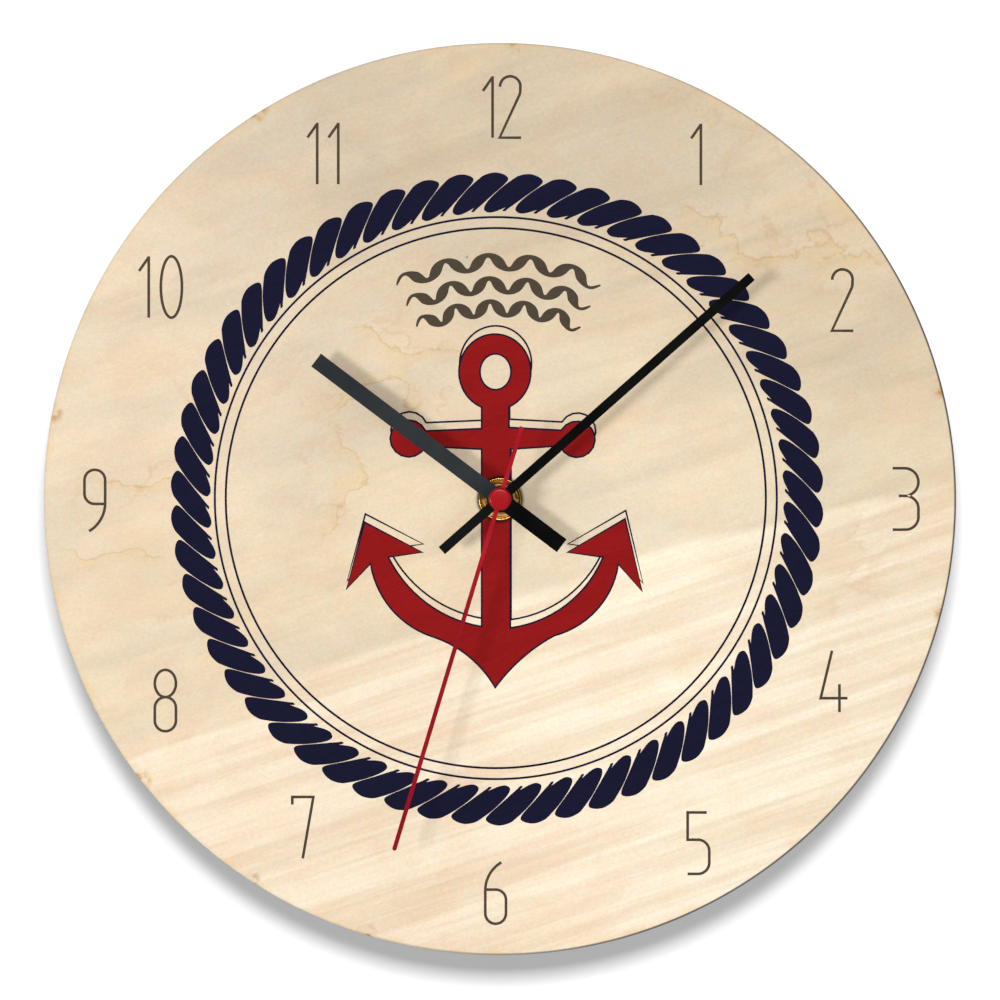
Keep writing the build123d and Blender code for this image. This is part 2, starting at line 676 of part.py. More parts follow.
with BuildPart() as rotor_magnet:
    with BuildSketch(layer(magnet_level, rotor_axis)):
        Circle(MAGNET_DIAMETER / 2)
        Circle(rotor_arbor_radius + SEAT_GAP, mode=Mode.SUBTRACT)
    extrude(amount=MAGNET_THICKNESS)
with BuildPart() as second_arbor:
    with BuildSketch(layer(pivot_back)):
        Circle(second_arbor_radius)
    extrude(amount=second_blade_back - pivot_back)

# Motion work
minute_arbor = toothed_piece(
    hand_axis,
    [Ring(CANNON_TEETH, cannon_motion_module, cannon_turn, cannon_level, cannon_front - cannon_level)],
    minute_arbor_radius,
    centre_level - ARBOR_STEP,
    minute_arbor_front,
    minute_bore_radius,
    [Shoulder(minute_arbor_radius + HUB_WALL, clutch_back, clutch_front - clutch_back)],
)
motion_wheel = toothed_piece(
    motion_axis,
    [
        Ring(MOTION_TEETH, cannon_motion_module, motion_turn, motion_level, WHEEL_THICKNESS),
        Ring(MOTION_PINION_TEETH, motion_hour_module, motion_pinion_turn, motion_level,
             motion_pinion_front - motion_level),
    ],
    motion_arbor_radius,
    plate_level + ARBOR_STEP,
    cover_back,
)
hour_wheel = toothed_piece(
    hand_axis,
    [Ring(HOUR_TEETH, motion_hour_module, hour_turn, hour_level, WHEEL_THICKNESS)],
    hour_pipe_radius,
    hour_level,
    hour_pipe_front,
    hour_bore_radius,
    [Shoulder(hour_pipe_radius + HUB_WALL, hour_front, HUB_STEP)],
)

# Setting knob with its shaft, and the pinion pressed on from inside
with BuildPart() as setting_knob:
    with BuildSketch(layer(KNOB_RECESS, setting_axis)):
        Circle(KNOB_DIAMETER / 2)
        with PolarLocations(KNOB_DIAMETER / 2, KNOB_FLUTES):
            Circle(FLUTE_DIAMETER / 2, mode=Mode.SUBTRACT)
    extrude(amount=KNOB_THICKNESS)
    with BuildSketch(layer(KNOB_RECESS + KNOB_THICKNESS, setting_axis)):
        Circle(knob_shaft_radius)
    extrude(amount=cannon_front + ARBOR_STEP - KNOB_RECESS - KNOB_THICKNESS)
setting_pinion = toothed_piece(
    setting_axis,
    [Ring(SETTING_TEETH, cannon_motion_module, setting_turn, cannon_level, cannon_front - cannon_level)],
    knob_shaft_radius + TUBE_WALL,
    cannon_level,
    cannon_front,
    knob_shaft_radius + SEAT_GAP,
)

# Step motor: stator, core with its bobbin and winding
stator_half = STATOR_LENGTH / 2
coil_half = stator_half - STATOR_ARM - COIL_GAP
arm_top = coil_z + CORE_HEIGHT / 2
with BuildPart() as stator_plate:
    with BuildSketch(layer(stator_level, rotor_axis)):
        Rectangle(STATOR_LENGTH, STATOR_WIDTH)
        arm_height = arm_top - rotor_axis[1]
        for side in (-1, 1):
            with Locations((side * (stator_half - STATOR_ARM / 2), arm_height / 2)):
                Rectangle(STATOR_ARM, arm_height)
        Circle(MAGNET_DIAMETER / 2 + STATOR_HOLE_GAP, mode=Mode.SUBTRACT)
    extrude(amount=STATOR_THICKNESS)
with BuildPart() as coil_core:
    with BuildSketch(layer(stator_front, (rotor_axis[0], coil_z))):
        Rectangle(STATOR_LENGTH, CORE_HEIGHT)
    extrude(amount=CORE_THICKNESS)
with BuildPart() as coil_bobbin:
    with BuildSketch(side_plane(rotor_axis[0] + coil_half)):
        with Locations((coil_level, coil_z)):
            Circle(COIL_TUBE_DIAMETER / 2)
    extrude(amount=2 * coil_half)
    for flange_x in (rotor_axis[0] + coil_half, rotor_axis[0] - coil_half + COIL_FLANGE_THICKNESS):
        with BuildSketch(side_plane(flange_x)):
            with Locations((coil_level, coil_z)):
                Circle(COIL_FLANGE_DIAMETER / 2)
        extrude(amount=COIL_FLANGE_THICKNESS)
    with BuildSketch(side_plane(rotor_axis[0] + coil_half)):
        with Locations((coil_level, coil_z)):
            Rectangle(CORE_THICKNESS + 2 * SEAT_GAP, CORE_HEIGHT + 2 * SEAT_GAP)
    extrude(amount=2 * coil_half, mode=Mode.SUBTRACT)
with BuildPart() as coil_winding:
    winding_half = coil_half - COIL_FLANGE_THICKNESS - SEAT_GAP
    with BuildSketch(side_plane(rotor_axis[0] + winding_half)):
        with Locations((coil_level, coil_z)):
            Circle(COIL_WINDING_DIAMETER / 2)
            Circle(COIL_TUBE_DIAMETER / 2 + SEAT_GAP, mode=Mode.SUBTRACT)
    extrude(amount=2 * winding_half)

# Board on the middle plate with its chip cover and crystal
board_centre = ((board_left + board_right) / 2, board_bottom + BOARD_HEIGHT / 2)
crystal_z = board_centre[1] + BOARD_HEIGHT / 2 - CRYSTAL_LENGTH - BOARD_GAP
with BuildPart() as circuit_board:
    with BuildSketch(layer(plate_front, board_centre)):
        Rectangle(board_right - board_left, BOARD_HEIGHT)
    extrude(amount=BOARD_THICKNESS)
with BuildPart() as chip_cover:
    with BuildSketch(layer(board_front, board_centre)):
        Circle(CHIP_DIAMETER / 2)
    extrude(amount=CHIP_HEIGHT)
    fillet(chip_cover.edges().sort_by(Axis.Y)[0], CHIP_ROUND)
with BuildPart() as quartz_crystal:
    with BuildSketch(Plane(origin=(board_centre[0], -board_front - CRYSTAL_DIAMETER / 2, crystal_z))):
        Circle(CRYSTAL_DIAMETER / 2)
    extrude(amount=CRYSTAL_LENGTH)

# Contact strips from the bay to the board
tab_back = battery_level - CONTACT_TAB / 2
strip_front = board_front + STRIP_WIDTH
with BuildPart() as positive_contact:
    with BuildSketch(side_plane(positive_x + CONTACT_THICKNESS)):
        with Locations(((tab_back + strip_front) / 2, battery_z)):
            Rectangle(strip_front - tab_back, CONTACT_TAB)
        with Locations((strip_level, (battery_z + chamber_floor + STRIP_END) / 2)):
            Rectangle(STRIP_WIDTH, chamber_floor + STRIP_END - battery_z)
    extrude(amount=CONTACT_THICKNESS)
with BuildPart() as negative_contact:
    run_z = chamber_floor + CONTACT_THICKNESS / 2
    run_x = negative_x + CONTACT_THICKNESS / 2
    leaf_reach = NEGATIVE_ROOM - CONTACT_TOUCH * 2 - CONTACT_THICKNESS
    with BuildSketch(side_plane(negative_x + CONTACT_THICKNESS)):
        with Locations(((tab_back + strip_front) / 2, battery_z)):
            Rectangle(strip_front - tab_back, CONTACT_TAB)
    extrude(amount=CONTACT_THICKNESS)
    with BuildSketch(layer(board_front)):
        with BuildLine():
            Polyline((run_x, battery_z), (run_x, run_z), (board_left + STRIP_END, run_z))
        trace(line_width=CONTACT_THICKNESS)
    extrude(amount=STRIP_WIDTH)
    with BuildSketch(layer(battery_level - STRIP_WIDTH)):
        with BuildLine():
            Polyline(
                (run_x, battery_z - CONTACT_TAB / 2 + CONTACT_THICKNESS),
                (run_x + leaf_reach, battery_z),
                (run_x, battery_z + CONTACT_TAB / 2 - CONTACT_THICKNESS),
            )
        trace(line_width=CONTACT_THICKNESS)
    extrude(amount=2 * STRIP_WIDTH)

# Cell: steel can with its button, and the wrap
can_radius = BATTERY_DIAMETER / 2 - SLEEVE_THICKNESS
can_end = battery_end - BUTTON_LENGTH
with BuildPart() as battery_can:
    with BuildSketch(side_plane(can_end)):
        with Locations((battery_level, battery_z)):
            Circle(can_radius)
    extrude(amount=can_end - battery_start)
    fillet(battery_can.edges().filter_by(GeomType.CIRCLE), BATTERY_ROUND)
    with BuildSketch(side_plane(battery_end)):
        with Locations((battery_level, battery_z)):
            Circle(BUTTON_DIAMETER / 2)
    extrude(amount=BUTTON_LENGTH)
with BuildPart() as battery_sleeve:
    with BuildSketch(side_plane(can_end - SLEEVE_MARGIN)):
        with Locations((battery_level, battery_z)):
            Circle(BATTERY_DIAMETER / 2)
            Circle(can_radius + SEAT_GAP, mode=Mode.SUBTRACT)
    extrude(amount=can_end - battery_start - 2 * SLEEVE_MARGIN)

# Hands and what grips the arbors
hour_seat_radius = hour_pipe_radius + SEAT_GAP
minute_seat_radius = minute_arbor_radius + SEAT_GAP
second_seat_radius = second_arbor_radius + SEAT_GAP
hour_hand_collet = sleeve(
    hour_collet_back, hour_blade_back, hour_seat_radius + COLLET_WALL, hour_seat_radius)
minute_hand_collet = sleeve(
    minute_collet_back, minute_blade_back, minute_seat_radius + COLLET_WALL, minute_seat_radius)
second_hand_tube = sleeve(
    second_tube_back, second_blade_back, second_seat_radius + TUBE_WALL, second_seat_radius)
hour_hand_blade = baton(
    hour_blade_back, HOUR_ANGLE, HOUR_REACH, HOUR_TAIL, HOUR_WIDTH, HOUR_EYE_DIAMETER, hour_seat_radius)
minute_hand_blade = baton(
    minute_blade_back, MINUTE_ANGLE, MINUTE_REACH, MINUTE_TAIL, MINUTE_WIDTH, MINUTE_EYE_DIAMETER,
    minute_seat_radius)
with BuildPart() as second_hand_blade:
    with BuildSketch(hand_plane(second_blade_back, SECOND_ANGLE)):
        straight = SECOND_REACH - SECOND_WIDTH / 2
        with Locations(((straight - SECOND_TAIL) / 2, 0)):
            Rectangle(straight + SECOND_TAIL, SECOND_WIDTH)
        with Locations((straight, 0)):
            Circle(SECOND_WIDTH / 2)
        Circle(SECOND_EYE_DIAMETER / 2)
    extrude(amount=SECOND_THICKNESS)
with BuildPart() as second_hand_cap:
    with BuildSketch(layer(cap_back)):
        Circle(CAP_DIAMETER / 2)
    extrude(amount=CAP_THICKNESS)
    fillet(second_hand_cap.faces().sort_by(Axis.Y)[0].edges(), CAP_ROUND)

pieces = {
    "dial_disc": dial_disc,
    "hanger_plate": hanger_plate,
    "rubber_pad": rubber_pad,
    "brass_washer": brass_washer,
    "hex_nut": hex_nut,
    "threaded_bush": threaded_bush,
    "rear_housing": rear_housing,
    "front_cover": front_cover,
    "middle_plate": middle_plate,
    "second_wheel": second_wheel,
    "second_arbor": second_arbor,
    "third_wheel": third_wheel,
    "intermediate_wheel": intermediate_wheel,
    "centre_wheel": centre_wheel,
    "rotor_pinion": rotor_pinion,
    "rotor_magnet": rotor_magnet,
    "minute_arbor": minute_arbor,
    "motion_wheel": motion_wheel,
    "hour_wheel": hour_wheel,
    "setting_knob": setting_knob,
    "setting_pinion": setting_pinion,
    "stator_plate": stator_plate,
    "coil_core": coil_core,
    "coil_bobbin": coil_bobbin,
    "coil_winding": coil_winding,
    "circuit_board": circuit_board,
    "chip_cover": chip_cover,
    "quartz_crystal": quartz_crystal,
    "positive_contact": positive_contact,
    "negative_contact": negative_contact,
    "battery_can": battery_can,
    "battery_sleeve": battery_sleeve,
    "hour_hand_collet": hour_hand_collet,
    "minute_hand_collet": minute_hand_collet,
    "second_hand_tube": second_hand_tube,
    "hour_hand_blade": hour_hand_blade,
    "minute_hand_blade": minute_hand_blade,
    "second_hand_blade": second_hand_blade,
    "second_hand_cap": second_hand_cap,
}
os.makedirs("parts", exist_ok=True)
for name, piece in pieces.items():
    piece.part.label = name
    export_step(piece.part, f"parts/{name}.step")
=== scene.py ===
import cmath
from collections import namedtuple
from math import cos, dist, pi, radians, sin, tan

import bmesh
import bpy
from mathutils import Matrix, Vector


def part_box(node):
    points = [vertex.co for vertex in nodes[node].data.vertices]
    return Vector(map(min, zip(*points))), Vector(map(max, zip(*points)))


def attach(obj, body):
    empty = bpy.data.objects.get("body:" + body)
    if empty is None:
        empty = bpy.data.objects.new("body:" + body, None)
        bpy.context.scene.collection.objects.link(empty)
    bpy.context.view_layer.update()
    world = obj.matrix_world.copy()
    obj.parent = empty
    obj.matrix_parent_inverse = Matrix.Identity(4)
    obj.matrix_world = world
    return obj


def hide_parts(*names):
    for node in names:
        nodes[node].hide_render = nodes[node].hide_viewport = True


# Looks of a round plywood wall clock with a printed rope and anchor dial.
# Metres, in the part's frame: the dial faces -Y, +Z is up, +X is to the right as the dial is seen.
# A level is a distance out from the wall, dial points are (across, up), both in millimetres.
MM = 0.001
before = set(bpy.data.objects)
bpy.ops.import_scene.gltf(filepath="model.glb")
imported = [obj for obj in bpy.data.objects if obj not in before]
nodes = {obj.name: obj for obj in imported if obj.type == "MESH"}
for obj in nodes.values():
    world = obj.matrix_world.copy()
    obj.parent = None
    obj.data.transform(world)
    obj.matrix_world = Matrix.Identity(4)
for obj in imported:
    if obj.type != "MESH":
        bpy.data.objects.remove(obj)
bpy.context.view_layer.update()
scene = bpy.context.scene


def span(low, high):
    """Radius, back level and front level of a piece on the hand axis, from its box."""
    return high.x / MM, -high.y / MM, -low.y / MM


# Sizes taken from the frame
nut_low, nut_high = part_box("hex_nut")
sleeve_low, sleeve_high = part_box("battery_sleeve")
DIAL_RADIUS, DIAL_BACK, DIAL_FRONT = span(*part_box("dial_disc"))
WASHER_RADIUS, WASHER_BACK, WASHER_FRONT = span(*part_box("brass_washer"))
NUT_RADIUS, NUT_BACK, NUT_FRONT = span(nut_low, nut_high)
NUT_FLAT = min(NUT_RADIUS, nut_high.z / MM)
BUSH_RADIUS, BUSH_BACK, BUSH_FRONT = span(*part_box("threaded_bush"))
CAP_RADIUS, CAP_BACK, CAP_FRONT = span(*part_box("second_hand_cap"))

# Meshes: steps round a piece, a small broken edge, angle of sharp edges in degrees, merging in metres
LATHE_STEPS = 128
ELLIPSE_STEPS = 48
CURVE_STEPS = 8
EASE = 0.1
PIECE_CREASE = 35.0
MERGE_DISTANCE = 1e-7

# CAD nodes: welding distance in metres, angles in degrees of flat faces and of edges that are broken
WELD_DISTANCE = 1e-6
FLAT_ANGLE = 0.5
CREASE = 32.0
BEVEL_SEGMENTS = 2

# Dial blank
DIAL_HOLE = 4.23
EDGE_ROUND = 0.4
EDGE_STEPS = 4
FACE_SHARE = 0.3
PLY_COUNT = 5
GRAIN_TURN = 18.0
RIM_STEPS = 384
RIM_CREASE = 30.0

# A kind of noise: length along and across the grain, seed, detail, roughness, warp and share in depth,
# then what it gives: the least at its low value and the most at its high one
Figure = namedtuple("Figure", "along across seed detail rough warp deep low high least most",
                    defaults=(0.0, 3.0, 0.5, 0.0, 0.0, 0.25, 0.75, 0.0, 1.0))
PATCH = Figure(60, 26, 1, 4, 0.55, 0.4, low=0.36, high=0.64)
ROSY = Figure(26, 17, 12, 6, 0.62, 0.6, low=0.44, high=0.60, most=0.9)
GOLDEN = Figure(22, 15, 15, 6, 0.62, 0.6, low=0.48, high=0.62, most=0.9)
BAND = Figure(170, 15, 13, low=0.50, high=0.66, most=0.4)
STREAK = Figure(190, 8, 2, 4, 0.6, low=0.40, high=0.60)
FINE = Figure(70, 1.7, 3, 3, 0.6)
FLECK = Figure(1.1, 0.7, 4, 4, 0.7, least=0.955, most=1.045)
SPECKLE = Figure(1.3, 1.0, 14, 2, deep=1.0, low=0.3, high=0.7, least=0.96, most=1.04)
BEND = Figure(110, 60, 5, 2, low=0.3, high=0.7, least=-6.0, most=6.0)
STAIN_EDGE = Figure(58, 40, 6, 9, 0.6, 0.15)
BROKEN = Figure(17, 12, 7, low=0.40, high=0.58, least=0.15)
SWAY = Figure(24, 20, 16, 6, 0.53, 0.2, low=0.3, high=0.7, least=-8.4, most=8.4)
STAIN = Figure(52, 22, 8, 4, 0.6, low=0.57, high=0.74, most=0.4)
SPECKS = Figure(19, 15, 9)
WARM = Figure(13, 13, 10, 4, low=0.46, high=0.68, most=0.4)
RAGGED = Figure(3.6, 3.6, 11, 4, low=0.42, high=0.62, least=0.1, most=0.9)
PLY_STREAK = Figure(1.6, 1.6, 3, 4, 0.6, deep=0.15, least=0.72, most=1.18)
PLY_CLOUD = Figure(24, 24, 7, deep=0.05, least=0.75, most=1.2)
INK_STREAK = Figure(120, 7, 2, 4, 0.6, least=0.92, most=1.08)
INK_FLECK = Figure(3.2, 0.8, 4, 2, 0.6, least=0.94, most=1.06)
TURNED = Figure(1, 1, 0, 3, 0.6)
DRAWN = Figure(14, 1, 1, 3, 0.6)
METAL_CLOUD = Figure(5, 5, 5, 4, 0.6, deep=0.2)
ERODED = Figure(1, 1, 2, 2, 0.6, least=0.93, most=1.07)
MOULD_CLOUD = Figure(9, 9, 6, 4, 0.6, deep=0.11, least=0.86, most=1.15)
PEEL = Figure(0.35, 0.35, 3, 2, 0.6, deep=3.0, least=0.92, most=1.08)
LACQUER_CLOUD = Figure(16, 16, 8, deep=0.06, least=0.88, most=1.12)
SCUFF = Figure(9, 0.5, 4, 3, 0.6, deep=2.0, least=0.9, most=1.1)

# Shares of a colour at the ends of a value, roughness over a range, height and strength of bumps
TINT_RANGE = (0.25, 0.75)
TAN_FINE = (0.985, 1.015)
CREAM_FINE = (0.955, 1.04)
# Painted shade: the veneer darker towards the top and lighter towards the bottom
TOP_SHADE_TINT = (1.06, 0.89)
# Painted shade: the front veneer darker towards the left side
SIDE_SHADE_TINT = (0.935, 1.02)
WOOD_ROUGHNESS = (0.2, 0.8, 0.62, 0.5)
MATT_ROUGHNESS = (0.2, 0.8, 0.75, 0.6)
SCUFF_ROUGHNESS = (0.3, 0.7, 0.28, 0.42)
METAL_RANGE = (0.6, 1.4)
CLOUD_RANGE = (0.3, 0.7)
METAL_SPREAD = (0.75, 1.3)
MOULD_SPREAD = (0.88, 1.1)
LACQUER_SPREAD = (0.85, 1.15)
WOOD_BUMP = (0.05, 0.35)
PLY_BUMP = (0.12, 0.6)
INK_BUMP = (0.03, 0.3)
METAL_BUMP = (0.02, 0.15)
PEEL_BUMP = (0.012, 0.4)
MOULD_BUMP = 0.5

# Veneer's tones, painted shade, stains and stain lines: centre and reach, or start and end, and how they
# fade
LOWER_VENEER = (-34.5, -40.5)
# Painted shade towards the top: how far it leans to the right, and where it runs up
TOP_SHADE_LEAN = 0.25
TOP_SHADE_RUN = (0, 130)
# Painted shade from the left side to the right, in millimetres across
SIDE_SHADE_RUN = (-120, 120)
SPOT_CORE = 0.3
FIGURE_SPOTS = (
    ((92, 86), 46), ((66, 128), 30), ((-38, 40), 42), ((-46, 10), 30), ((-122, 18), 40), ((-112, -28), 34),
    ((112, -20), 26), ((10, 84), 24),
)
TONE_SPOTS = (
    ((-122, 20), 84, (1.015, 1.015, 1.03, 1.0)), ((-70, 62), 88, (0.945, 0.945, 0.96, 1.0)),
    ((82, -66), 118, (1.01, 1.055, 1.09, 1.0)), ((-92, 112), 56, (1.075, 1.075, 1.09, 1.0)),
    ((26, 124), 56, (0.945, 0.945, 0.95, 1.0)), ((118, 4), 62, (0.94, 0.94, 0.93, 1.0)),
)
STAIN_FILL = (0.495, 0.505, 0.0, 0.2)
STAIN_LINE = (0.018, 0.0, 0.0, 0.22)
SHORES = (
    ((58, 91), (127, 77)), ((-49, 56), (-9, 51)), ((-28, 39), (-53, 26)), ((-53, 26), (-43, 12)),
    ((-43, 12), (-58, -13)), ((-142, -12), (-112, -24)), ((-130, 12), (-106, 6)),
)
SHORE_LINE = (1.05, 0.0, 0.0, 0.32)
SHORE_GLOW = (-9.0, 0.0)
SHORE_LIP = (0.6, 0.0)
SHORE_OUT = 3.0
SHORE_IN = 6.0
SPECK_CHOICE = (0.62, 0.7)
SPECK_SIZE = (0.045, 0.012, 0.0, 0.55)

# Rim and washer: widths and depths of darkened strips, the one round the washer being painted shade, turns
# of marks in degrees clockwise from the top
WARM_RIM = (3.4, 0.2)
SCORCH_TURNS = (2, 76, 104, 197, 213, 232, 281, 328)
SCORCH_REACH = 4.6
# Grey line along the rim: the turn of its darkest side, its strip, its run across and how dark it gets
DARK_LINE_SIDE = 112.0
DARK_LINE_RIM = (0.85, 0.4)
DARK_LINE_RUN = (-0.1, 0.75)
DARK_LINE_DEPTH = (0.1, 0.94)
WASHER_SHADE_WIDTH = 1.4
WASHER_SHADE_DEPTH = 0.95
GLUE_LINE = (0.38, 0.48, 0.0, 0.7)

# Printed dial: thickness of its layers, strokes, numerals and rings
PRINT = 0.05
PRINT_STEP = 0.004
PRINT_OFFSET = (-0.44, 0.15)
NUMERAL_HEIGHT = 20.2
NUMERAL_STROKE = 0.9
RING_RADII = (92.4, 88.8)
RING_CENTRE = (-0.94, 0.18)
RING_STROKE = 0.70
RING_STEPS = 240
ARC_STEPS = 14
MITRE_LIMIT = 1.6
NUMERAL_CENTRES = {
    "12": (1.1, 128.8), "1": (64.9, 113.2), "2": (113.1, 65.3), "3": (133.8, -0.1),
    "4": (110.3, -60.1), "5": (65.7, -113.3), "6": (-1.0, -129.7), "7": (-64.4, -108.2),
    "8": (-109.6, -66.4), "9": (-132.8, -0.6), "10": (-111.2, 69.6), "11": (-57.8, 113.5),
}
NUMERAL_GAPS = {"12": 0.115, "10": 0.197, "11": 0.185}

# Rope ring
ROPE_CENTRE = (-0.54, -0.12)
ROPE_INNER = 94.2
ROPE_OUTER = 107.4
ROPE_STRANDS = 58
ROPE_START = 4.8
ROPE_CURVE_STEPS = 4

# Anchor
OUTLINE_STROKE = 0.60
OUTLINE_SHIFT = (0.23, 2.73)
ANCHOR_RING = ((-1.23, 41.66), 11.81, 12.43)
ANCHOR_EYE = ((-1.04, 41.72), 5.10, 5.89)
ANCHOR_RING_STEPS = 96
NECK_LEFT = (-5.58, 30.2)
NECK_RIGHT = (3.37, 30.2)
NECK_TOP = 36.0

# Wave lines above the anchor
WAVE_RADII = (62.6, 70.2, 77.8)
WAVE_HALF_SPAN = 25.5
WAVE_COUNT = 5
WAVE_HEIGHT = 2.3
WAVE_WIDE = 3.5
WAVE_THIN = 1.5
WAVE_POINT = 0.5
WAVE_TAPER = 0.1
WAVE_STEPS = 120

# Washer with a rounded lip and a groove inside it
WASHER_BORE = 4.05
LIP_ROUND = 0.32
LIP_HEIGHT = 0.28
GROOVE_OUT = 0.82
GROOVE_IN = 0.98
GROOVE_DEPTH = 0.42
WASHER_DROP = 0.06

# Nut with a coned front edge and an eased bore
NUT_BORE = 4.05
NUT_EASE = 0.3
NUT_FACE_INSET = 0.45
NUT_CONE = radians(30)
NUT_STEPS = 96
NUT_CREASE = 20.0

# Bush with a collar and thread rings
BUSH_BORE = 2.56
BUSH_EASE = 0.15
COLLAR_HEIGHT = 1.0
COLLAR_FRONT = BUSH_BACK + COLLAR_HEIGHT
THREAD_RADIUS = 4.0
THREAD_DEPTH = 0.3
THREAD_PITCH = 0.75
THREAD_START = 0.2
THREAD_END = 0.5
THREAD_CREASE = 25.0

# Hands: turns in degrees clockwise from the top, and the cap of the second hand
HOUR_TURN = 307.1
MINUTE_TURN = 48.5
SECOND_TURN = 196.8
CAP_SHOULDER = 0.9
CAP_CROWN = 0.06
CAP_CROWN_STEPS = 6

# Cell: pale ring on its wrap, and polarity signs
WRAP_RING_INSET = 12.0
WRAP_RING_WIDTH = 4.0
WRAP_RING_SOFT = 0.05
SIGN_ARM = 1.5
SIGN_WIDTH = 0.8
SIGN_THICK = 0.02
SIGN_STEP = 0.005
SIGN_INSET = 17.0

# Wall and floor, in metres
WALL_HALF = 0.8
WALL_Y = 0.0002
FLOOR_HALF = 40.0
FLOOR_Z = -1.6
CORNERS = ((-1, -1), (1, -1), (1, 1), (-1, 1))
WALL_WHITE = (0.98, 0.98, 0.98, 1.0)
FLOOR_PALE = (0.84, 0.84, 0.83, 1.0)

# Lights: a common level, what a matt dial face sends back of it, then places and sizes in metres
LIGHT_LEVEL = 1.25
DIAL_LIT = 1.59
Light = namedtuple("Light", "place share size")
KEY_LEFT = Light((-2.75, -3.0, -0.62), 0.60, 1.0)
KEY_ABOVE = Light((0.0, -3.85, 1.2), 0.55, 0.95)
REAR_LEFT = Light((0.9, 1.7, 0.7), 0.36, 0.8)
REAR_RIGHT = Light((-1.2, 1.3, 0.1), 0.22, 0.8)
FLOOR_WASH = 2.6

# Surroundings: share of the light level, and the levels that metal reflects, from sideways to ahead
WORLD_WHITE = (1.0, 1.0, 1.0, 1.0)
WORLD_SHARE = 0.37
REFLECTED_LEVEL = 1.5
REFLECTED = (
    (0.0, 0.22), (0.60, 0.08), (0.82, 0.25), (0.93, 1.0), (0.97, 0.8), (0.992, 0.27), (1.0, 0.23),
)

# Camera: picture size and place of the dial's centre in pixels, distance in metres
PICTURE_SIZE = 1000
PIXELS_PER_MM = 3.041
DIAL_PIXEL = (500.0, 499.1)
CAMERA_DISTANCE = 3.0


def colour(red, green, blue, lit=1.0):
    """Linear colour, by the sRGB curve, that shows as an 8-bit colour under a light of that level."""
    linear = []
    for value in (red, green, blue):
        share = value / 255
        linear.append((share / 12.92 if share <= 0.04045 else ((share + 0.055) / 1.055) ** 2.4) / lit)
    return (*linear, 1.0)


def seen(red, green, blue):
    """Colour of a matt surface that shows as this picture colour in the scene's light."""
    return colour(red, green, blue, DIAL_LIT)


# Colours of the wood, its marks and the cell, and tones that multiply a colour
TAN_GREY = seen(227, 210, 183)
TAN_WARM = seen(239, 219, 188)
TAN_BAND = seen(214, 196, 168)
CREAM_PALE = seen(250, 233, 207)
CREAM_WARM = seen(239, 217, 188)
STAIN_INSIDE = seen(224, 194, 152)
STAIN_BROWN = seen(196, 152, 100)
SHORE_BROWN = seen(188, 142, 90)
STAIN_GOLD = seen(240, 209, 160)
SPECK_BROWN = seen(126, 100, 74)
WARM_GOLD = seen(232, 196, 132)
SCORCH_BROWN = seen(196, 144, 74)
# Grey of the line along the rim
DARK_LINE_GREY = seen(82, 80, 82)
# Painted shade round the washer
WASHER_SHADE_DARK = colour(14, 11, 9)
PLY_LIGHT = seen(150, 112, 76)
PLY_DARK = seen(116, 80, 50)
GLUE_DARK = seen(62, 40, 26)
WRAP_TEAL = colour(48, 92, 98)
WRAP_PALE = colour(196, 200, 198)
ROSY_TONE = (0.985, 0.945, 0.925, 1.0)
GOLDEN_TONE = (0.995, 0.98, 0.955, 1.0)
GLOW_TONE = (1.0, 0.96, 0.85, 1.0)


def adjust(made, **settings):
    """Set properties of a thing and give it back."""
    for key, value in settings.items():
        setattr(made, key, value)
    return made


def placed(name, data):
    """A new object in the scene."""
    made = bpy.data.objects.new(name, data)
    scene.collection.objects.link(made)
    return made


class Nodes:
    """Short calls that build a node tree."""

    def __init__(self, tree):
        self.tree = tree

    def feed(self, socket, value):
        if isinstance(value, bpy.types.NodeSocket):
            self.tree.links.new(value, socket)
        else:
            socket.default_value = value

    def node(self, kind, inputs, output=0, **settings):
        made = adjust(self.tree.nodes.new(kind), **settings)
        for key, value in inputs.items():
            self.feed(made.inputs[key], value)
        return made.outputs[output]

    def math(self, operation, first, second=0.0):
        return self.node("ShaderNodeMath", {0: first, 1: second}, operation=operation)

    def product(self, first, second):
        return self.math("MULTIPLY", first, second)

    def parts(self, vector):
        """The three coordinates of a vector."""
        split = self.tree.nodes.new("ShaderNodeSeparateXYZ")
        self.feed(split.inputs[0], vector)
        return split.outputs


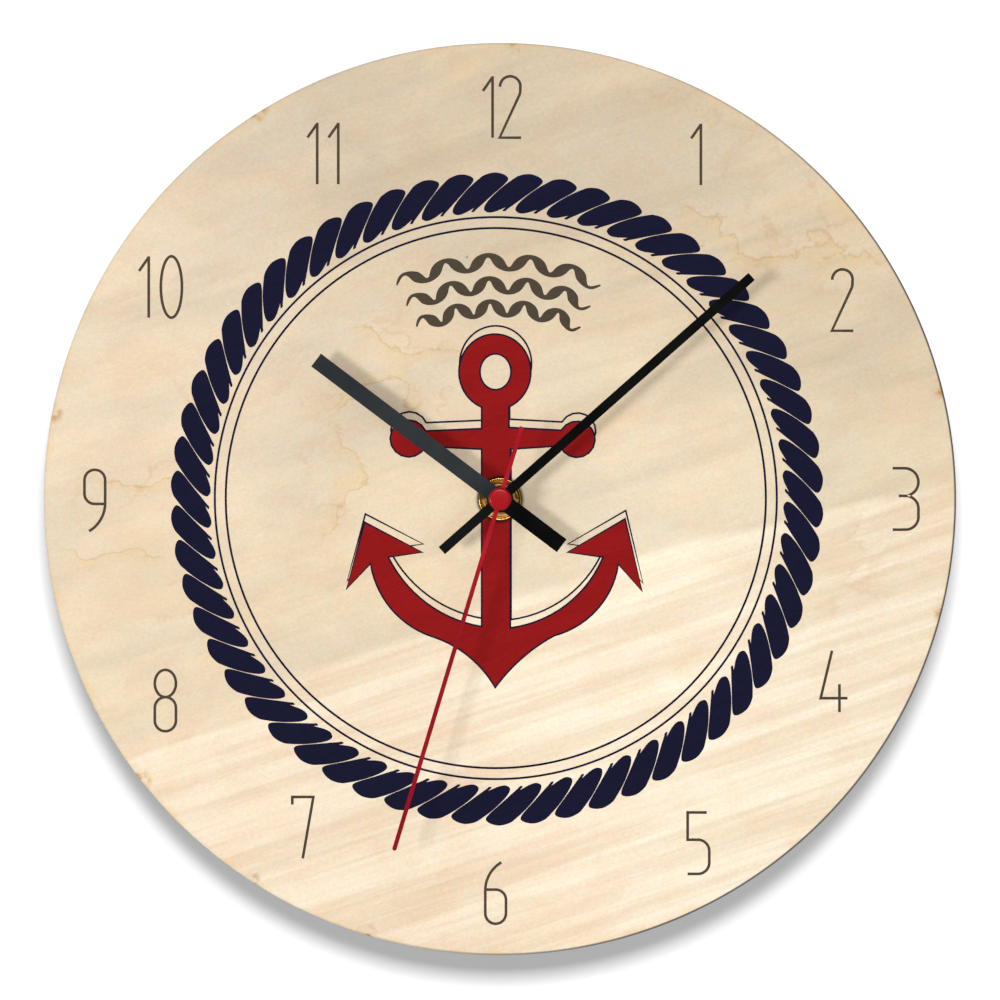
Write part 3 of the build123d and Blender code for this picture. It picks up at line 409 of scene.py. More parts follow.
class Paint(Nodes):
    """Short calls that build the nodes of one material, at places in millimetres."""

    def __init__(self, name, seed=0.0, turn=0.0, **fixed):
        self.material = bpy.data.materials.new(name)
        self.material.use_nodes = True
        super().__init__(self.material.node_tree)
        self.shader = self.tree.nodes["Principled BSDF"]
        self.set(fixed)
        self.seed = seed
        self.spot = self.place(0.0)
        self.x, self.y, self.z = self.parts(self.spot)
        self.grain = self.place(turn) if turn else self.spot

    def set(self, values):
        for key, value in values.items():
            self.feed(self.shader.inputs[key.replace("_", " ")], value)

    def place(self, turn):
        """Object coordinates, turned so that X runs along the grain."""
        found = self.node("ShaderNodeTexCoord", {}, "Object")
        return self.node("ShaderNodeMapping", {"Vector": found, "Rotation": (0, radians(turn), 0),
                                               "Scale": (1 / MM, 1 / MM, 1 / MM)})

    def vector(self, operation, first, second, output=0):
        return self.node("ShaderNodeVectorMath", {0: first, 1: second}, output, operation=operation)

    def stretch(self, shape):
        """Places divided by the sizes of a kind of noise, moved by its seed."""
        shares = (1 / shape.along, shape.deep, 1 / shape.across)
        inputs = {0: self.grain, 1: shares, 2: (self.seed + shape.seed,) * 3}
        return self.node("ShaderNodeVectorMath", inputs, operation="MULTIPLY_ADD")

    def noise(self, vector, shape, output=0):
        inputs = {"Vector": vector, "Scale": 1.0, "Detail": shape.detail, "Roughness": shape.rough,
                  "Distortion": shape.warp}
        return self.node("ShaderNodeTexNoise", inputs, output)

    def figure(self, shape):
        """One kind of noise."""
        return self.noise(self.stretch(shape), shape)

    def given(self, noise, shape):
        """What a kind of noise gives, from its least to its most."""
        return self.fade(noise, shape.low, shape.high, shape.least, shape.most)

    def cover(self, shape):
        """What one kind of noise gives at each place."""
        return self.given(self.figure(shape), shape)

    def aslant(self, turn):
        """Distance from the hand axis towards a turn in degrees clockwise from the top."""
        across = self.product(self.x, sin(radians(turn)))
        return self.math("ADD", across, self.product(self.z, cos(radians(turn))))

    def fade(self, value, low, high, start=0.0, end=1.0):
        """Runs smoothly from start at low to end at high."""
        inputs = {"Value": value, "From Min": low, "From Max": high, "To Min": start, "To Max": end}
        return self.node("ShaderNodeMapRange", inputs, interpolation_type="SMOOTHSTEP")

    def blend(self, factor, first, second, mode="MIX"):
        inputs = {0: factor, 6: first, 7: second}
        return self.node("ShaderNodeMix", inputs, 2, data_type="RGBA", blend_type=mode)

    def times(self, base, channels):
        """A colour with its red, green and blue multiplied."""
        shares = self.node("ShaderNodeCombineColor", dict(enumerate(channels)))
        return self.blend(1.0, base, shares, "MULTIPLY")

    def tint(self, base, value, low, high):
        """A colour made darker or lighter by a value of about 0 to 1."""
        return self.times(base, [self.fade(value, *TINT_RANGE, low, high)] * 3)

    def tone(self, base, noise, shape):
        """A colour made darker or lighter by what a kind of noise gives."""
        return self.times(base, [self.given(noise, shape)] * 3)

    def speckle(self, base, shape):
        """A colour with each channel made darker or lighter by fine noise of its own."""
        found = self.noise(self.stretch(shape), shape, "Color")
        return self.times(base, [self.given(part, shape) for part in self.parts(found)])

    def apart(self, spot=(0, 0)):
        """Distance from the hand axis or from another dial point."""
        flat = self.vector("MULTIPLY", self.spot, (1, 0, 1))
        return self.vector("DISTANCE", flat, (spot[0], 0, spot[1]), "Value")

    def near(self, spot, reach):
        """1 at a dial point, fading to 0 at a distance from it."""
        return self.fade(self.apart(spot), reach, reach * SPOT_CORE)

    def shore(self, sway, start, end):
        """A ragged line from one dial point to another, and a soft band on its lower side."""
        length = dist(start, end)
        run = ((end[0] - start[0]) / length, 0, (end[1] - start[1]) / length)
        moved = self.vector("SUBTRACT", self.spot, (start[0], 0, start[1]))
        along = self.vector("DOT_PRODUCT", moved, run, "Value")
        away = self.vector("DOT_PRODUCT", moved, (-run[2], 0, run[0]), "Value")
        off = self.math("ADD", away, sway)
        held = self.product(self.fade(along, -SHORE_OUT, SHORE_IN),
                            self.fade(along, length + SHORE_OUT, length - SHORE_IN))
        edge = self.fade(self.math("ABSOLUTE", off), *SHORE_LINE)
        band = self.product(self.fade(off, *SHORE_GLOW), self.fade(off, *SHORE_LIP))
        return self.product(edge, held), self.product(band, held)

    def contact(self, base):
        """Painted shade close round the washer."""
        ends = (WASHER_RADIUS + WASHER_SHADE_WIDTH, WASHER_RADIUS, 0, WASHER_SHADE_DEPTH)
        return self.blend(self.fade(self.apart(), *ends), base, WASHER_SHADE_DARK)

    def finished(self, base, rough, height, distance, strength):
        """The material with its colour, its roughness and bumps of a height in millimetres."""
        inputs = {"Height": height, "Distance": distance * MM, "Strength": strength}
        self.set({"Base Color": base, "Roughness": rough, "Normal": self.node("ShaderNodeBump", inputs)})
        return self.material


def stained(paint, base):
    """Painted shade darker towards the left, tones of the front veneer, stains with ragged edges and
    shore-like stain lines.
    """
    base = paint.tint(base, paint.fade(paint.x, *SIDE_SHADE_RUN), *SIDE_SHADE_TINT)
    for place, reach, tone in TONE_SPOTS:
        base = paint.blend(paint.near(place, reach), base, tone, "MULTIPLY")
    shore = paint.figure(STAIN_EDGE)
    spots = 0.0
    for place, reach in FIGURE_SPOTS:
        spots = paint.math("MAXIMUM", spots, paint.near(place, reach))
    base = paint.blend(paint.product(paint.fade(shore, *STAIN_FILL), spots), base, STAIN_INSIDE)
    line = paint.fade(paint.math("ABSOLUTE", paint.math("SUBTRACT", shore, 0.5)), *STAIN_LINE)
    line = paint.product(paint.product(line, paint.cover(BROKEN)), spots)
    base = paint.blend(line, base, STAIN_BROWN)
    sway = paint.cover(SWAY)
    for start, end in SHORES:
        edge, glow = paint.shore(sway, start, end)
        base = paint.blend(glow, base, GLOW_TONE, "MULTIPLY")
        base = paint.blend(edge, base, SHORE_BROWN)
    return base


def scorched(paint, base):
    """Warm strip, scorch marks and a grey line on the rim, darkest towards the lower right."""
    reach = paint.apart()
    warm = paint.fade(reach, *(DIAL_RADIUS - width for width in WARM_RIM))
    base = paint.blend(paint.product(warm, paint.cover(WARM)), base, WARM_GOLD)
    scorch = 0.0
    for turn in SCORCH_TURNS:
        mark = (DIAL_RADIUS * sin(radians(turn)), DIAL_RADIUS * cos(radians(turn)))
        scorch = paint.math("MAXIMUM", scorch, paint.near(mark, SCORCH_REACH))
    base = paint.blend(paint.product(scorch, paint.cover(RAGGED)), base, SCORCH_BROWN)
    run = (DIAL_RADIUS * share for share in DARK_LINE_RUN)
    side = paint.fade(paint.aslant(DARK_LINE_SIDE), *run, *DARK_LINE_DEPTH)
    strip = paint.fade(reach, *(DIAL_RADIUS - width for width in DARK_LINE_RIM))
    return paint.blend(paint.product(strip, side), base, DARK_LINE_GREY)


def wood(name, seed, figured):
    """Rotary-cut veneer: clouds above, streaks below, stains, specks, a scorched rim, painted shade towards
    the top and round the washer.
    """
    paint = Paint(name, seed, GRAIN_TURN, IOR=1.45, Specular_IOR_Level=0.12)
    fine = paint.figure(FINE)
    fleck = paint.figure(FLECK)
    wavy = paint.math("ADD", paint.parts(paint.grain)[2], paint.cover(BEND))
    upper = paint.blend(paint.cover(PATCH), TAN_GREY, TAN_WARM)
    upper = paint.blend(paint.cover(BAND), upper, TAN_BAND)
    upper = paint.tint(upper, fine, *TAN_FINE)
    lower = paint.blend(paint.cover(STREAK), CREAM_PALE, CREAM_WARM)
    lower = paint.tint(lower, fine, *CREAM_FINE)
    base = paint.blend(paint.fade(wavy, *LOWER_VENEER), upper, lower)
    base = paint.blend(paint.cover(ROSY), base, ROSY_TONE, "MULTIPLY")
    base = paint.blend(paint.cover(GOLDEN), base, GOLDEN_TONE, "MULTIPLY")
    base = paint.tone(base, fleck, FLECK)
    base = paint.speckle(base, SPECKLE)
    # Painted shade: darker towards the top and upper right, lighter towards the bottom
    top_shade = paint.math("ADD", paint.z, paint.product(paint.x, TOP_SHADE_LEAN))
    base = paint.tint(base, paint.fade(top_shade, *TOP_SHADE_RUN), *TOP_SHADE_TINT)
    if figured:
        base = stained(paint, base)
    base = paint.blend(paint.cover(STAIN), base, STAIN_GOLD)
    cells = paint.tree.nodes.new("ShaderNodeTexVoronoi")
    cells.inputs["Scale"].default_value = 1.0
    paint.feed(cells.inputs["Vector"], paint.stretch(SPECKS))
    chosen = paint.fade(paint.parts(cells.outputs["Color"])[0], *SPECK_CHOICE)
    speck = paint.product(paint.fade(cells.outputs["Distance"], *SPECK_SIZE), chosen)
    # Painted shade round the washer
    base = paint.contact(paint.blend(speck, base, SPECK_BROWN))
    base = scorched(paint, base)
    rough = paint.fade(fleck, *WOOD_ROUGHNESS)
    return paint.finished(base, rough, paint.math("ADD", fine, fleck), *WOOD_BUMP)


def ply_edge():
    """Laser-cut plywood edge: browned plies with dark glue lines and scorch streaks."""
    paint = Paint("plywood_edge", IOR=1.45, Specular_IOR_Level=0.2)
    depth = paint.math("ADD", paint.y, DIAL_FRONT)
    depth = paint.math("DIVIDE", depth, (DIAL_FRONT - DIAL_BACK) / PLY_COUNT)
    odd = paint.math("PINGPONG", paint.math("FLOOR", depth), 1.0)
    place = paint.math("ABSOLUTE", paint.math("SUBTRACT", paint.math("FRACT", depth), 0.5))
    glue = paint.fade(place, *GLUE_LINE)
    streak = paint.figure(PLY_STREAK)
    base = paint.blend(odd, PLY_LIGHT, PLY_DARK)
    base = paint.blend(glue, base, GLUE_DARK)
    base = paint.tone(base, streak, PLY_STREAK)
    base = paint.tone(base, paint.figure(PLY_CLOUD), PLY_CLOUD)
    rough = paint.fade(streak, *MATT_ROUGHNESS)
    return paint.finished(base, rough, paint.math("ADD", streak, glue), *PLY_BUMP)


def ink(name, shade):
    """Flat print on wood: the grain shows through a little, with painted shade round the washer."""
    paint = Paint(name, turn=GRAIN_TURN, IOR=1.45, Specular_IOR_Level=0.03)
    fleck = paint.figure(INK_FLECK)
    base = paint.tone(seen(*shade), paint.figure(INK_STREAK), INK_STREAK)
    # Painted shade round the washer on the print
    base = paint.contact(paint.tone(base, fleck, INK_FLECK))
    return paint.finished(base, paint.fade(fleck, *MATT_ROUGHNESS), fleck, *INK_BUMP)


def metal(name, shade, rough, grain, turned=False, worn=0.12):
    """Bare metal: turning rings or drawn lines, patchy shine."""
    paint = Paint(name, Metallic=1.0)
    if turned:
        out = paint.math("DIVIDE", paint.apart(), grain)
        level = paint.math("DIVIDE", paint.y, grain)
        lines = paint.noise(paint.node("ShaderNodeCombineXYZ", {0: out, 1: level}), TURNED)
    else:
        lines = paint.figure(DRAWN._replace(across=grain, deep=1 / grain))
    cloud = paint.figure(METAL_CLOUD)
    base = paint.tint(colour(*shade), cloud, 1 - worn, 1 + worn)
    base = paint.tint(base, lines, 1 - worn / 2, 1 + worn / 2)
    spread = (rough * share for share in METAL_SPREAD)
    shine = paint.fade(paint.math("ADD", lines, cloud), *METAL_RANGE, *spread)
    return paint.finished(base, shine, lines, *METAL_BUMP)


def moulded(name, shade, rough, grain, depth=0.03, coat=0.0):
    """Moulded plastic or rubber: fine spark-eroded grain, slight blotches and rubbed spots."""
    paint = Paint(name, IOR=1.5, Coat_Weight=coat)
    texture = paint.figure(ERODED._replace(along=grain, across=grain, deep=1 / grain))
    cloud = paint.figure(MOULD_CLOUD)
    base = paint.tone(colour(*shade), cloud, MOULD_CLOUD)
    base = paint.tone(base, texture, ERODED)
    shine = paint.fade(cloud, *CLOUD_RANGE, *(rough * share for share in MOULD_SPREAD))
    return paint.finished(base, shine, texture, depth, MOULD_BUMP)


def lacquer(name, tip, tail, turn, rough, shine, tail_end=-7.0, tip_start=9.0):
    """Sprayed hand: fine orange peel, one tone towards the tip and one towards the tail; the hour hand's
    grey tip is a painted sheen.
    """
    paint = Paint(name, IOR=1.5, Specular_IOR_Level=shine)
    peel = paint.figure(PEEL)
    cloud = paint.figure(LACQUER_CLOUD)
    base = paint.blend(paint.fade(paint.aslant(turn), tail_end, tip_start), seen(*tail), seen(*tip))
    base = paint.tone(base, cloud, LACQUER_CLOUD)
    base = paint.tone(base, peel, PEEL)
    gloss = paint.fade(cloud, *CLOUD_RANGE, *(rough * share for share in LACQUER_SPREAD))
    return paint.finished(base, gloss, peel, *PEEL_BUMP)


def battery_wrap():
    """Plain printed wrap: one body tone, a pale ring near the button end and fine scuffs."""
    paint = Paint("cell_wrap", IOR=1.5, Coat_Weight=0.6, Coat_Roughness=0.15)
    start = sleeve_high.x / MM - WRAP_RING_INSET
    end = start + WRAP_RING_WIDTH
    ring = paint.product(paint.fade(paint.x, start - WRAP_RING_SOFT, start + WRAP_RING_SOFT),
                         paint.fade(paint.x, end + WRAP_RING_SOFT, end - WRAP_RING_SOFT))
    scuff = paint.figure(SCUFF)
    base = paint.tone(paint.blend(ring, WRAP_TEAL, WRAP_PALE), scuff, SCUFF)
    paint.set({"Base Color": base, "Roughness": paint.fade(scuff, *SCUFF_ROUGHNESS)})
    return paint.material


def link(name, mesh, body, materials, node=None):
    """Put a mesh in the scene as a piece that rides on a body and may stand for a CAD node."""
    made = placed(name, mesh)
    for material in materials:
        mesh.materials.append(material)
    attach(made, body)
    if node:
        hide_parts(node)
    return made


def finish_mesh(name, shape, crease=PIECE_CREASE):
    """A bmesh as a mesh with clean normals, smooth except at sharp edges."""
    bmesh.ops.remove_doubles(shape, verts=shape.verts, dist=MERGE_DISTANCE)
    bmesh.ops.recalc_face_normals(shape, faces=shape.faces)
    mesh = bpy.data.meshes.new(name)
    shape.to_mesh(mesh)
    shape.free()
    mesh.shade_smooth()
    mesh.set_sharp_from_angle(angle=radians(crease))
    return mesh


def lathe(name, profile, steps=LATHE_STEPS, crease=PIECE_CREASE):
    """An outline of (radius, level), or one that a function gives at each turn, turned round the axis."""
    shape = bmesh.new()
    outline = profile if callable(profile) else (lambda turn: profile)
    rings = []
    for step in range(steps):
        turn = 2 * pi * step / steps
        places = [(r * sin(turn) * MM, -level * MM, r * cos(turn) * MM) for r, level in outline(turn)]
        rings.append([shape.verts.new(place) for place in places])
    radii = [r for r, level in outline(0.0)]
    count = len(radii)
    for here, there in zip(rings, rings[1:] + rings[:1]):
        for k in range(count):
            n = (k + 1) % count
            if radii[k] or radii[n]:
                shape.faces.new((here[k], here[n], there[n], there[k]))
    return finish_mesh(name, shape, crease)


def round_edge(radius, level, wide, high, start, end, steps=CURVE_STEPS):
    """Outline points of an elliptic edge, between two turns from straight out to straight ahead."""
    turns = [start + (end - start) * k / steps for k in range(steps + 1)]
    return [(radius - wide * (1 - cos(turn)), level - high * (1 - sin(turn))) for turn in turns]


def turned_piece(name, profile, body, materials, node, steps=LATHE_STEPS, crease=PIECE_CREASE):
    """A turned piece that stands for a CAD node."""
    return link(name, lathe(name, profile, steps, crease), body, materials, node)


def arc_points(start, via, end):
    """Points along the circle through three points, without the first."""
    a, b, c = complex(*start), complex(*via), complex(*end)
    ratio = (c - a) / (b - a)
    centre = a + (b - a) * (ratio - abs(ratio) ** 2) / (2j * ratio.imag)
    sweep = cmath.phase((c - centre) / (a - centre)) % (2 * pi)
    if cmath.phase((b - centre) / (a - centre)) % (2 * pi) > sweep:
        sweep -= 2 * pi
    turns = [sweep * k / ARC_STEPS for k in range(1, ARC_STEPS + 1)]
    points = [centre + (a - centre) * cmath.rect(1, turn) for turn in turns]
    return [(point.real, point.imag) for point in points]


def path(start, *steps):
    """Straight runs and arcs: a step is an end point, or a point on the way and an end point."""
    points = [start]
    for step in steps:
        if isinstance(step[0], tuple):
            points += arc_points(points[-1], *step)
        else:
            points.append(step)
    return points


def ellipse(centre, half_wide, half_high, steps=ELLIPSE_STEPS):
    """Closed loop of an ellipse."""
    turns = [2 * pi * k / steps for k in range(steps)]
    return [(centre[0] + half_wide * cos(turn), centre[1] + half_high * sin(turn)) for turn in turns]


def ribbon(points, widths, closed=False):
    """Loops round a stroke: one for an open stroke, two for a closed one."""
    line = [complex(*point) for point in points]
    count = len(line)
    left, right = [], []
    for i, here in enumerate(line):
        starts = [k for k in (i - 1, i) if closed or 0 <= k < count - 1]
        runs = [line[(k + 1) % count] - line[k] for k in starts]
        normal = sum(1j * run / abs(run) for run in runs) / len(runs)
        size = abs(normal)
        reach = normal * widths[i] / 2 * min(1 / size, MITRE_LIMIT) / size
        left.append(here + reach)
        right.append(here - reach)
    loops = [left, right] if closed else [left + right[::-1]]
    return [[(point.real, point.imag) for point in loop] for loop in loops]


def add_prism(shape, loops, thickness):
    """Fill flat loops on the dial's front as a thin closed solid and add it to a bmesh."""
    curve = bpy.data.curves.new("outline", "CURVE")
    adjust(curve, dimensions="2D", fill_mode="BOTH", extrude=thickness * MM / 2)
    for loop in loops:
        spline = curve.splines.new("POLY")
        spline.points.add(len(loop) - 1)
        for point, (x, z) in zip(spline.points, loop):
            point.co = ((x + PRINT_OFFSET[0]) * MM, (z + PRINT_OFFSET[1]) * MM, 0, 1)
        spline.use_cyclic_u = True
    holder = bpy.data.objects.new("outline", curve)
    mesh = bpy.data.meshes.new_from_object(holder)
    level = DIAL_FRONT + thickness / 2
    mesh.transform(Matrix(((1, 0, 0, 0), (0, 0, -1, -level * MM), (0, 1, 0, 0), (0, 0, 0, 1))))
    shape.from_mesh(mesh)
    bpy.data.objects.remove(holder)
    bpy.data.curves.remove(curve)
    bpy.data.meshes.remove(mesh)


def printed(name, solids, material):
    """One printed piece from (loops, thickness) pairs, riding on the dial."""
    shape = bmesh.new()
    for loops, thickness in solids:
        add_prism(shape, loops, thickness)
    return link(name, finish_mesh(name, shape), "clock_body", [material])


def smooth_loop(points, corners):
    """Closed loop through points, smooth except at the listed ones."""
    count = len(points)
    loop = []
    for i in range(count):
        before, here, there, after = (Vector(points[(i + k) % count]) for k in (-1, 0, 1, 2))
        leave = there - here if i in corners else (there - before) / 2
        arrive = there - here if (i + 1) % count in corners else (after - here) / 2
        for k in range(ROPE_CURVE_STEPS):
            t = k / ROPE_CURVE_STEPS
            bend = leave * (t ** 3 - 2 * t ** 2 + t) + arrive * (t ** 3 - t ** 2)
            loop.append(here.lerp(there, 3 * t ** 2 - 2 * t ** 3) + bend)
    return loop


def smoothing():
    """Geometry nodes that shade a mesh smooth except at sharp edges."""
    group = bpy.data.node_groups.new("smooth_by_angle", "GeometryNodeTree")
    for side in ("INPUT", "OUTPUT"):
        group.interface.new_socket("Geometry", in_out=side, socket_type="NodeSocketGeometry")
    made = Nodes(group)
    start = made.node("NodeGroupInput", {})
    angle = made.node("GeometryNodeInputMeshEdgeAngle", {}, "Unsigned Angle")
    soft = made.node("FunctionNodeCompare", {0: angle, 1: radians(CREASE)}, operation="LESS_THAN")
    kind = "GeometryNodeSetShadeSmooth"
    edges = made.node(kind, {"Geometry": start, "Shade Smooth": soft}, domain="EDGE")
    faces = made.node(kind, {"Geometry": edges})
    made.feed(group.nodes.new("NodeGroupOutput").inputs[0], faces)
    return group


smooth_nodes = smoothing()


def dress(name, material, bevel):
    """Give a CAD node its material, welded smooth faces and softly broken edges."""
    node = nodes[name]
    for place in node.material_slots:
        place.link = "OBJECT"
        place.material = material
    add = node.modifiers.new
    adjust(add("weld", "WELD"), merge_threshold=WELD_DISTANCE)
    adjust(add("flat", "DECIMATE"), decimate_type="DISSOLVE", angle_limit=radians(FLAT_ANGLE))
    adjust(add("smooth", "NODES"), node_group=smooth_nodes)
    if bevel:
        adjust(add("edge", "BEVEL"), width=bevel * MM, segments=BEVEL_SEGMENTS, limit_method="ANGLE",
               angle_limit=radians(CREASE), harden_normals=True)
    return node


def dressed(rows):
    """CAD nodes that keep their shape, from rows of a material, a width of broken edges and names."""
    return [dress(name, material, bevel) for material, bevel, names in rows for name in names.split()]


# Materials
veneer_front = wood("veneer_front", 0.0, True)
veneer_back = wood("veneer_back", 31.0, False)
edge_wood = ply_edge()
navy_ink = ink("navy_ink", (22, 22, 47))
red_ink = ink("red_ink", (146, 22, 23))
taupe_ink = ink("taupe_ink", (78, 68, 56))
brass = metal("turned_brass", (143, 108, 54), rough=0.18, grain=0.5, turned=True, worn=0.2)
nut_brass = metal("milled_brass", (164, 126, 66), rough=0.16, grain=0.6, worn=0.18)
zinc = metal("zinc_plate", (186, 188, 190), rough=0.36, grain=0.25, worn=0.16)
nickel = metal("nickel_strip", (186, 182, 174), rough=0.36, grain=0.18)
steel = metal("bright_steel", (190, 190, 194), rough=0.25, grain=0.15, turned=True)
copper = metal("copper_wire", (196, 116, 70), rough=0.34, grain=0.10)
black_case = moulded("black_case", (38, 38, 40), rough=0.62, grain=0.22, depth=0.035)
black_knob = moulded("black_knob", (46, 46, 49), rough=0.45, grain=0.30)
rubber = moulded("pad_rubber", (34, 33, 33), rough=0.85, grain=0.4, depth=0.05)
natural = moulded("natural_moulding", (224, 219, 206), rough=0.42, grain=0.5, depth=0.02)
signal = moulded("red_moulding", (178, 60, 44), rough=0.42, grain=0.5, depth=0.02)
green = moulded("green_moulding", (44, 92, 62), rough=0.45, grain=0.5, depth=0.02)
board = moulded("brown_board", (122, 88, 48), rough=0.55, grain=0.6)
resin = moulded("black_resin", (22, 22, 22), rough=0.25, grain=1.2, depth=0.04, coat=0.4)
magnet = moulded("sintered_magnet", (74, 74, 77), rough=0.6, grain=0.15, depth=0.05)
sign_white = moulded("sign_print", (206, 208, 204), rough=0.45, grain=0.5, depth=0.01)
# Painted sheen: the hour hand's slate-grey tip, fading to black at the tail
hour_black = lacquer("hour_lacquer", (46, 50, 53), (3, 3, 4), HOUR_TURN, rough=0.22, shine=0.03)
minute_black = lacquer("minute_lacquer", (4, 5, 5), (15, 16, 16), MINUTE_TURN, rough=0.22, shine=0.03)
second_red = lacquer("second_lacquer", (150, 8, 25), (173, 12, 34), SECOND_TURN,
                     rough=0.2, shine=0.1, tail_end=18.0, tip_start=40.0)
cap_red = lacquer("cap_lacquer", (165, 9, 19), (165, 9, 19), 0.0, rough=0.2, shine=0.1)
wrap = battery_wrap()

# Dial blank: rounded rim, veneer on both faces, plies on the edge
rim_profile = [
    (DIAL_HOLE, DIAL_BACK), (DIAL_HOLE, DIAL_FRONT),
    *round_edge(DIAL_RADIUS, DIAL_FRONT, EDGE_ROUND, EDGE_ROUND, pi / 2, 0, EDGE_STEPS),
    *round_edge(DIAL_RADIUS, DIAL_BACK, EDGE_ROUND, -EDGE_ROUND, 0, pi / 2, EDGE_STEPS),
]
sides = [veneer_front, veneer_back, edge_wood]
plywood = turned_piece("plywood_dial", rim_profile, "clock_body", sides, "dial_disc", RIM_STEPS, RIM_CREASE)
for face in plywood.data.polygons:
    if face.normal.y < -FACE_SHARE:
        face.material_index = 0
    elif face.normal.y > FACE_SHARE:
        face.material_index = 1
    else:
        face.material_index = 2
plywood.visible_diffuse = False

# Numerals as strokes on a box one unit high, each stroke a path of runs and arcs
GLYPHS = {
    "1": [path((0.158, 1), (0.158, 0)), path((0, 0.76), (0.158, 0.985))],
    "2": [path((0.006, 0.83), ((0.166, 1), (0.335, 0.8)), ((0.332, 0.73), (0.308, 0.665)), (0, 0),
               (0.35, 0))],
    "3": [path((0, 1), (0.21, 1), ((0.42, 0.775), (0.21, 0.55)), ((0.36, 0.488), (0.42, 0.34)),
               (0.42, 0.21), ((0.36, 0.062), (0.21, 0)), (0, 0)),
          path((0.1, 0.55), (0.22, 0.55))],
    "4": [path((0.185, 1), (0, 0.227), (0.437, 0.227)), path((0.306, 0.454), (0.306, 0))],
    "5": [path((0.31, 1), (0, 1), (0, 0.556), (0.16, 0.556), ((0.3, 0.5), (0.352, 0.37)),
               (0.352, 0.19), ((0.3, 0.055), (0.17, 0)), (0, 0))],
    "6": [path((0.262, 1), ((0.085, 0.83), (0, 0.54)), (0, 0.175), ((0.168, 0), (0.337, 0.175)),
               (0.337, 0.38), ((0.29, 0.506), (0.165, 0.556))),
          path((0.165, 0.556), (0, 0.556))],
    "7": [path((0, 0.876), (0, 1), (0.343, 1), (0.17, 0))],
    "8": [ellipse((0.172, 0.778), 0.172, 0.222),
          path((0, 0.384), (0, 0.172), ((0.172, 0), (0.344, 0.172)), (0.344, 0.384),
               ((0.172, 0.556), (0, 0.384)))[:-1]],
    "0": [ellipse((0.172, 0.5), 0.172, 0.5)],
}
SIX_WIDTH = 0.337
GLYPHS["9"] = [[(SIX_WIDTH - x, 1 - y) for x, y in stroke] for stroke in GLYPHS["6"]]
CLOSED = {"8", "0"}
numeral_solids = []
for text, (centre_x, centre_z) in NUMERAL_CENTRES.items():
    gap = NUMERAL_GAPS.get(text, 0.0)
    strokes = []
    pen = 0.0
    for digit in text:
        wide = max(x for stroke in GLYPHS[digit] for x, _ in stroke)
        for stroke in GLYPHS[digit]:
            strokes.append((digit, [(x + pen, y) for x, y in stroke]))
        pen += wide + gap
    left = centre_x - (pen - gap) / 2 * NUMERAL_HEIGHT
    low = centre_z - NUMERAL_HEIGHT / 2
    for level, (digit, stroke) in enumerate(strokes):
        points = [(left + x * NUMERAL_HEIGHT, low + y * NUMERAL_HEIGHT) for x, y in stroke]
        loops = ribbon(points, [NUMERAL_STROKE] * len(points), digit in CLOSED)
        numeral_solids.append((loops, PRINT + level * PRINT_STEP))
printed("dial_numerals", numeral_solids, taupe_ink)

# Two thin rings inside the rope
ring_solids = []
for radius in RING_RADII:
    points = ellipse(RING_CENTRE, radius, radius, RING_STEPS)
    ring_solids.append((ribbon(points, [RING_STROKE] * RING_STEPS, True), PRINT))
printed("dial_rings", ring_solids, navy_ink)

# Rope ring: one strand in pitch units along the ring and in shares of the ring's width
STRAND = [
    (0, 0), (-0.13, 0.03), (-0.19, 0.11), (-0.07, 0.28), (0.31, 0.585), (0.68, 0.836), (0.87, 0.943),
    (1.16, 1), (1.425, 0.95), (1.55, 0.85), (1.45, 0.71), (1.16, 0.49), (0.8, 0.24), (0.56, 0.09),
    (0.5, 0.045), (0.43, 0.035), (0.405, 0.06), (0.5, 0.135), (0.36, 0.085), (0.19, 0.03),
]
STRAND_CORNERS = {17, 18}
strand_loop = smooth_loop(STRAND, STRAND_CORNERS)
rope_loops = []
for strand in range(ROPE_STRANDS):
    loop = []
    for u, v in strand_loop:
        turn = radians(ROPE_START) + 2 * pi * (strand + u) / ROPE_STRANDS
        radius = ROPE_INNER + v * (ROPE_OUTER - ROPE_INNER)
        loop.append((ROPE_CENTRE[0] + radius * sin(turn), ROPE_CENTRE[1] + radius * cos(turn)))
    rope_loops.append(([loop], PRINT))
printed("dial_rope", rope_loops, navy_ink)

# Anchor: filled shape, its outline, and the outline again a little higher under the fill
anchor_body = path(
    NECK_RIGHT, (3.37, 23.4), (20.58, 22.48), ((31.69, 19.62), (20.18, 17.38)), (3.83, 16.26),
    (3.83, -42.49), ((20.5, -36.2), (34.33, -19.2)), (22.52, -17.65), (41.56, -6.63), (47.22, -30.51),
    (39.36, -21.6), ((34.1, -34.3), (18.27, -45.05)), ((7.6, -52.5), (-1.13, -62.12)),
    ((-8.9, -52.65), (-22.09, -45.28)), ((-36.4, -34.9), (-42.12, -21.37)), (-50.05, -29.76),
    (-44.06, -7.78), (-25.05, -17.65), (-36.3, -19.2), ((-22.7, -35.1), (-5.58, -42.09)), (-5.58, 16.26),
    (-24.06, 17.22), ((-35.67, 19.55), (-24.03, 22.25)), (-5.58, 23.04), NECK_LEFT,
)


def outlined(loop, level):
    """Line along a closed loop."""
    return ribbon(loop, [OUTLINE_STROKE] * len(loop), True), PRINT + level * PRINT_STEP


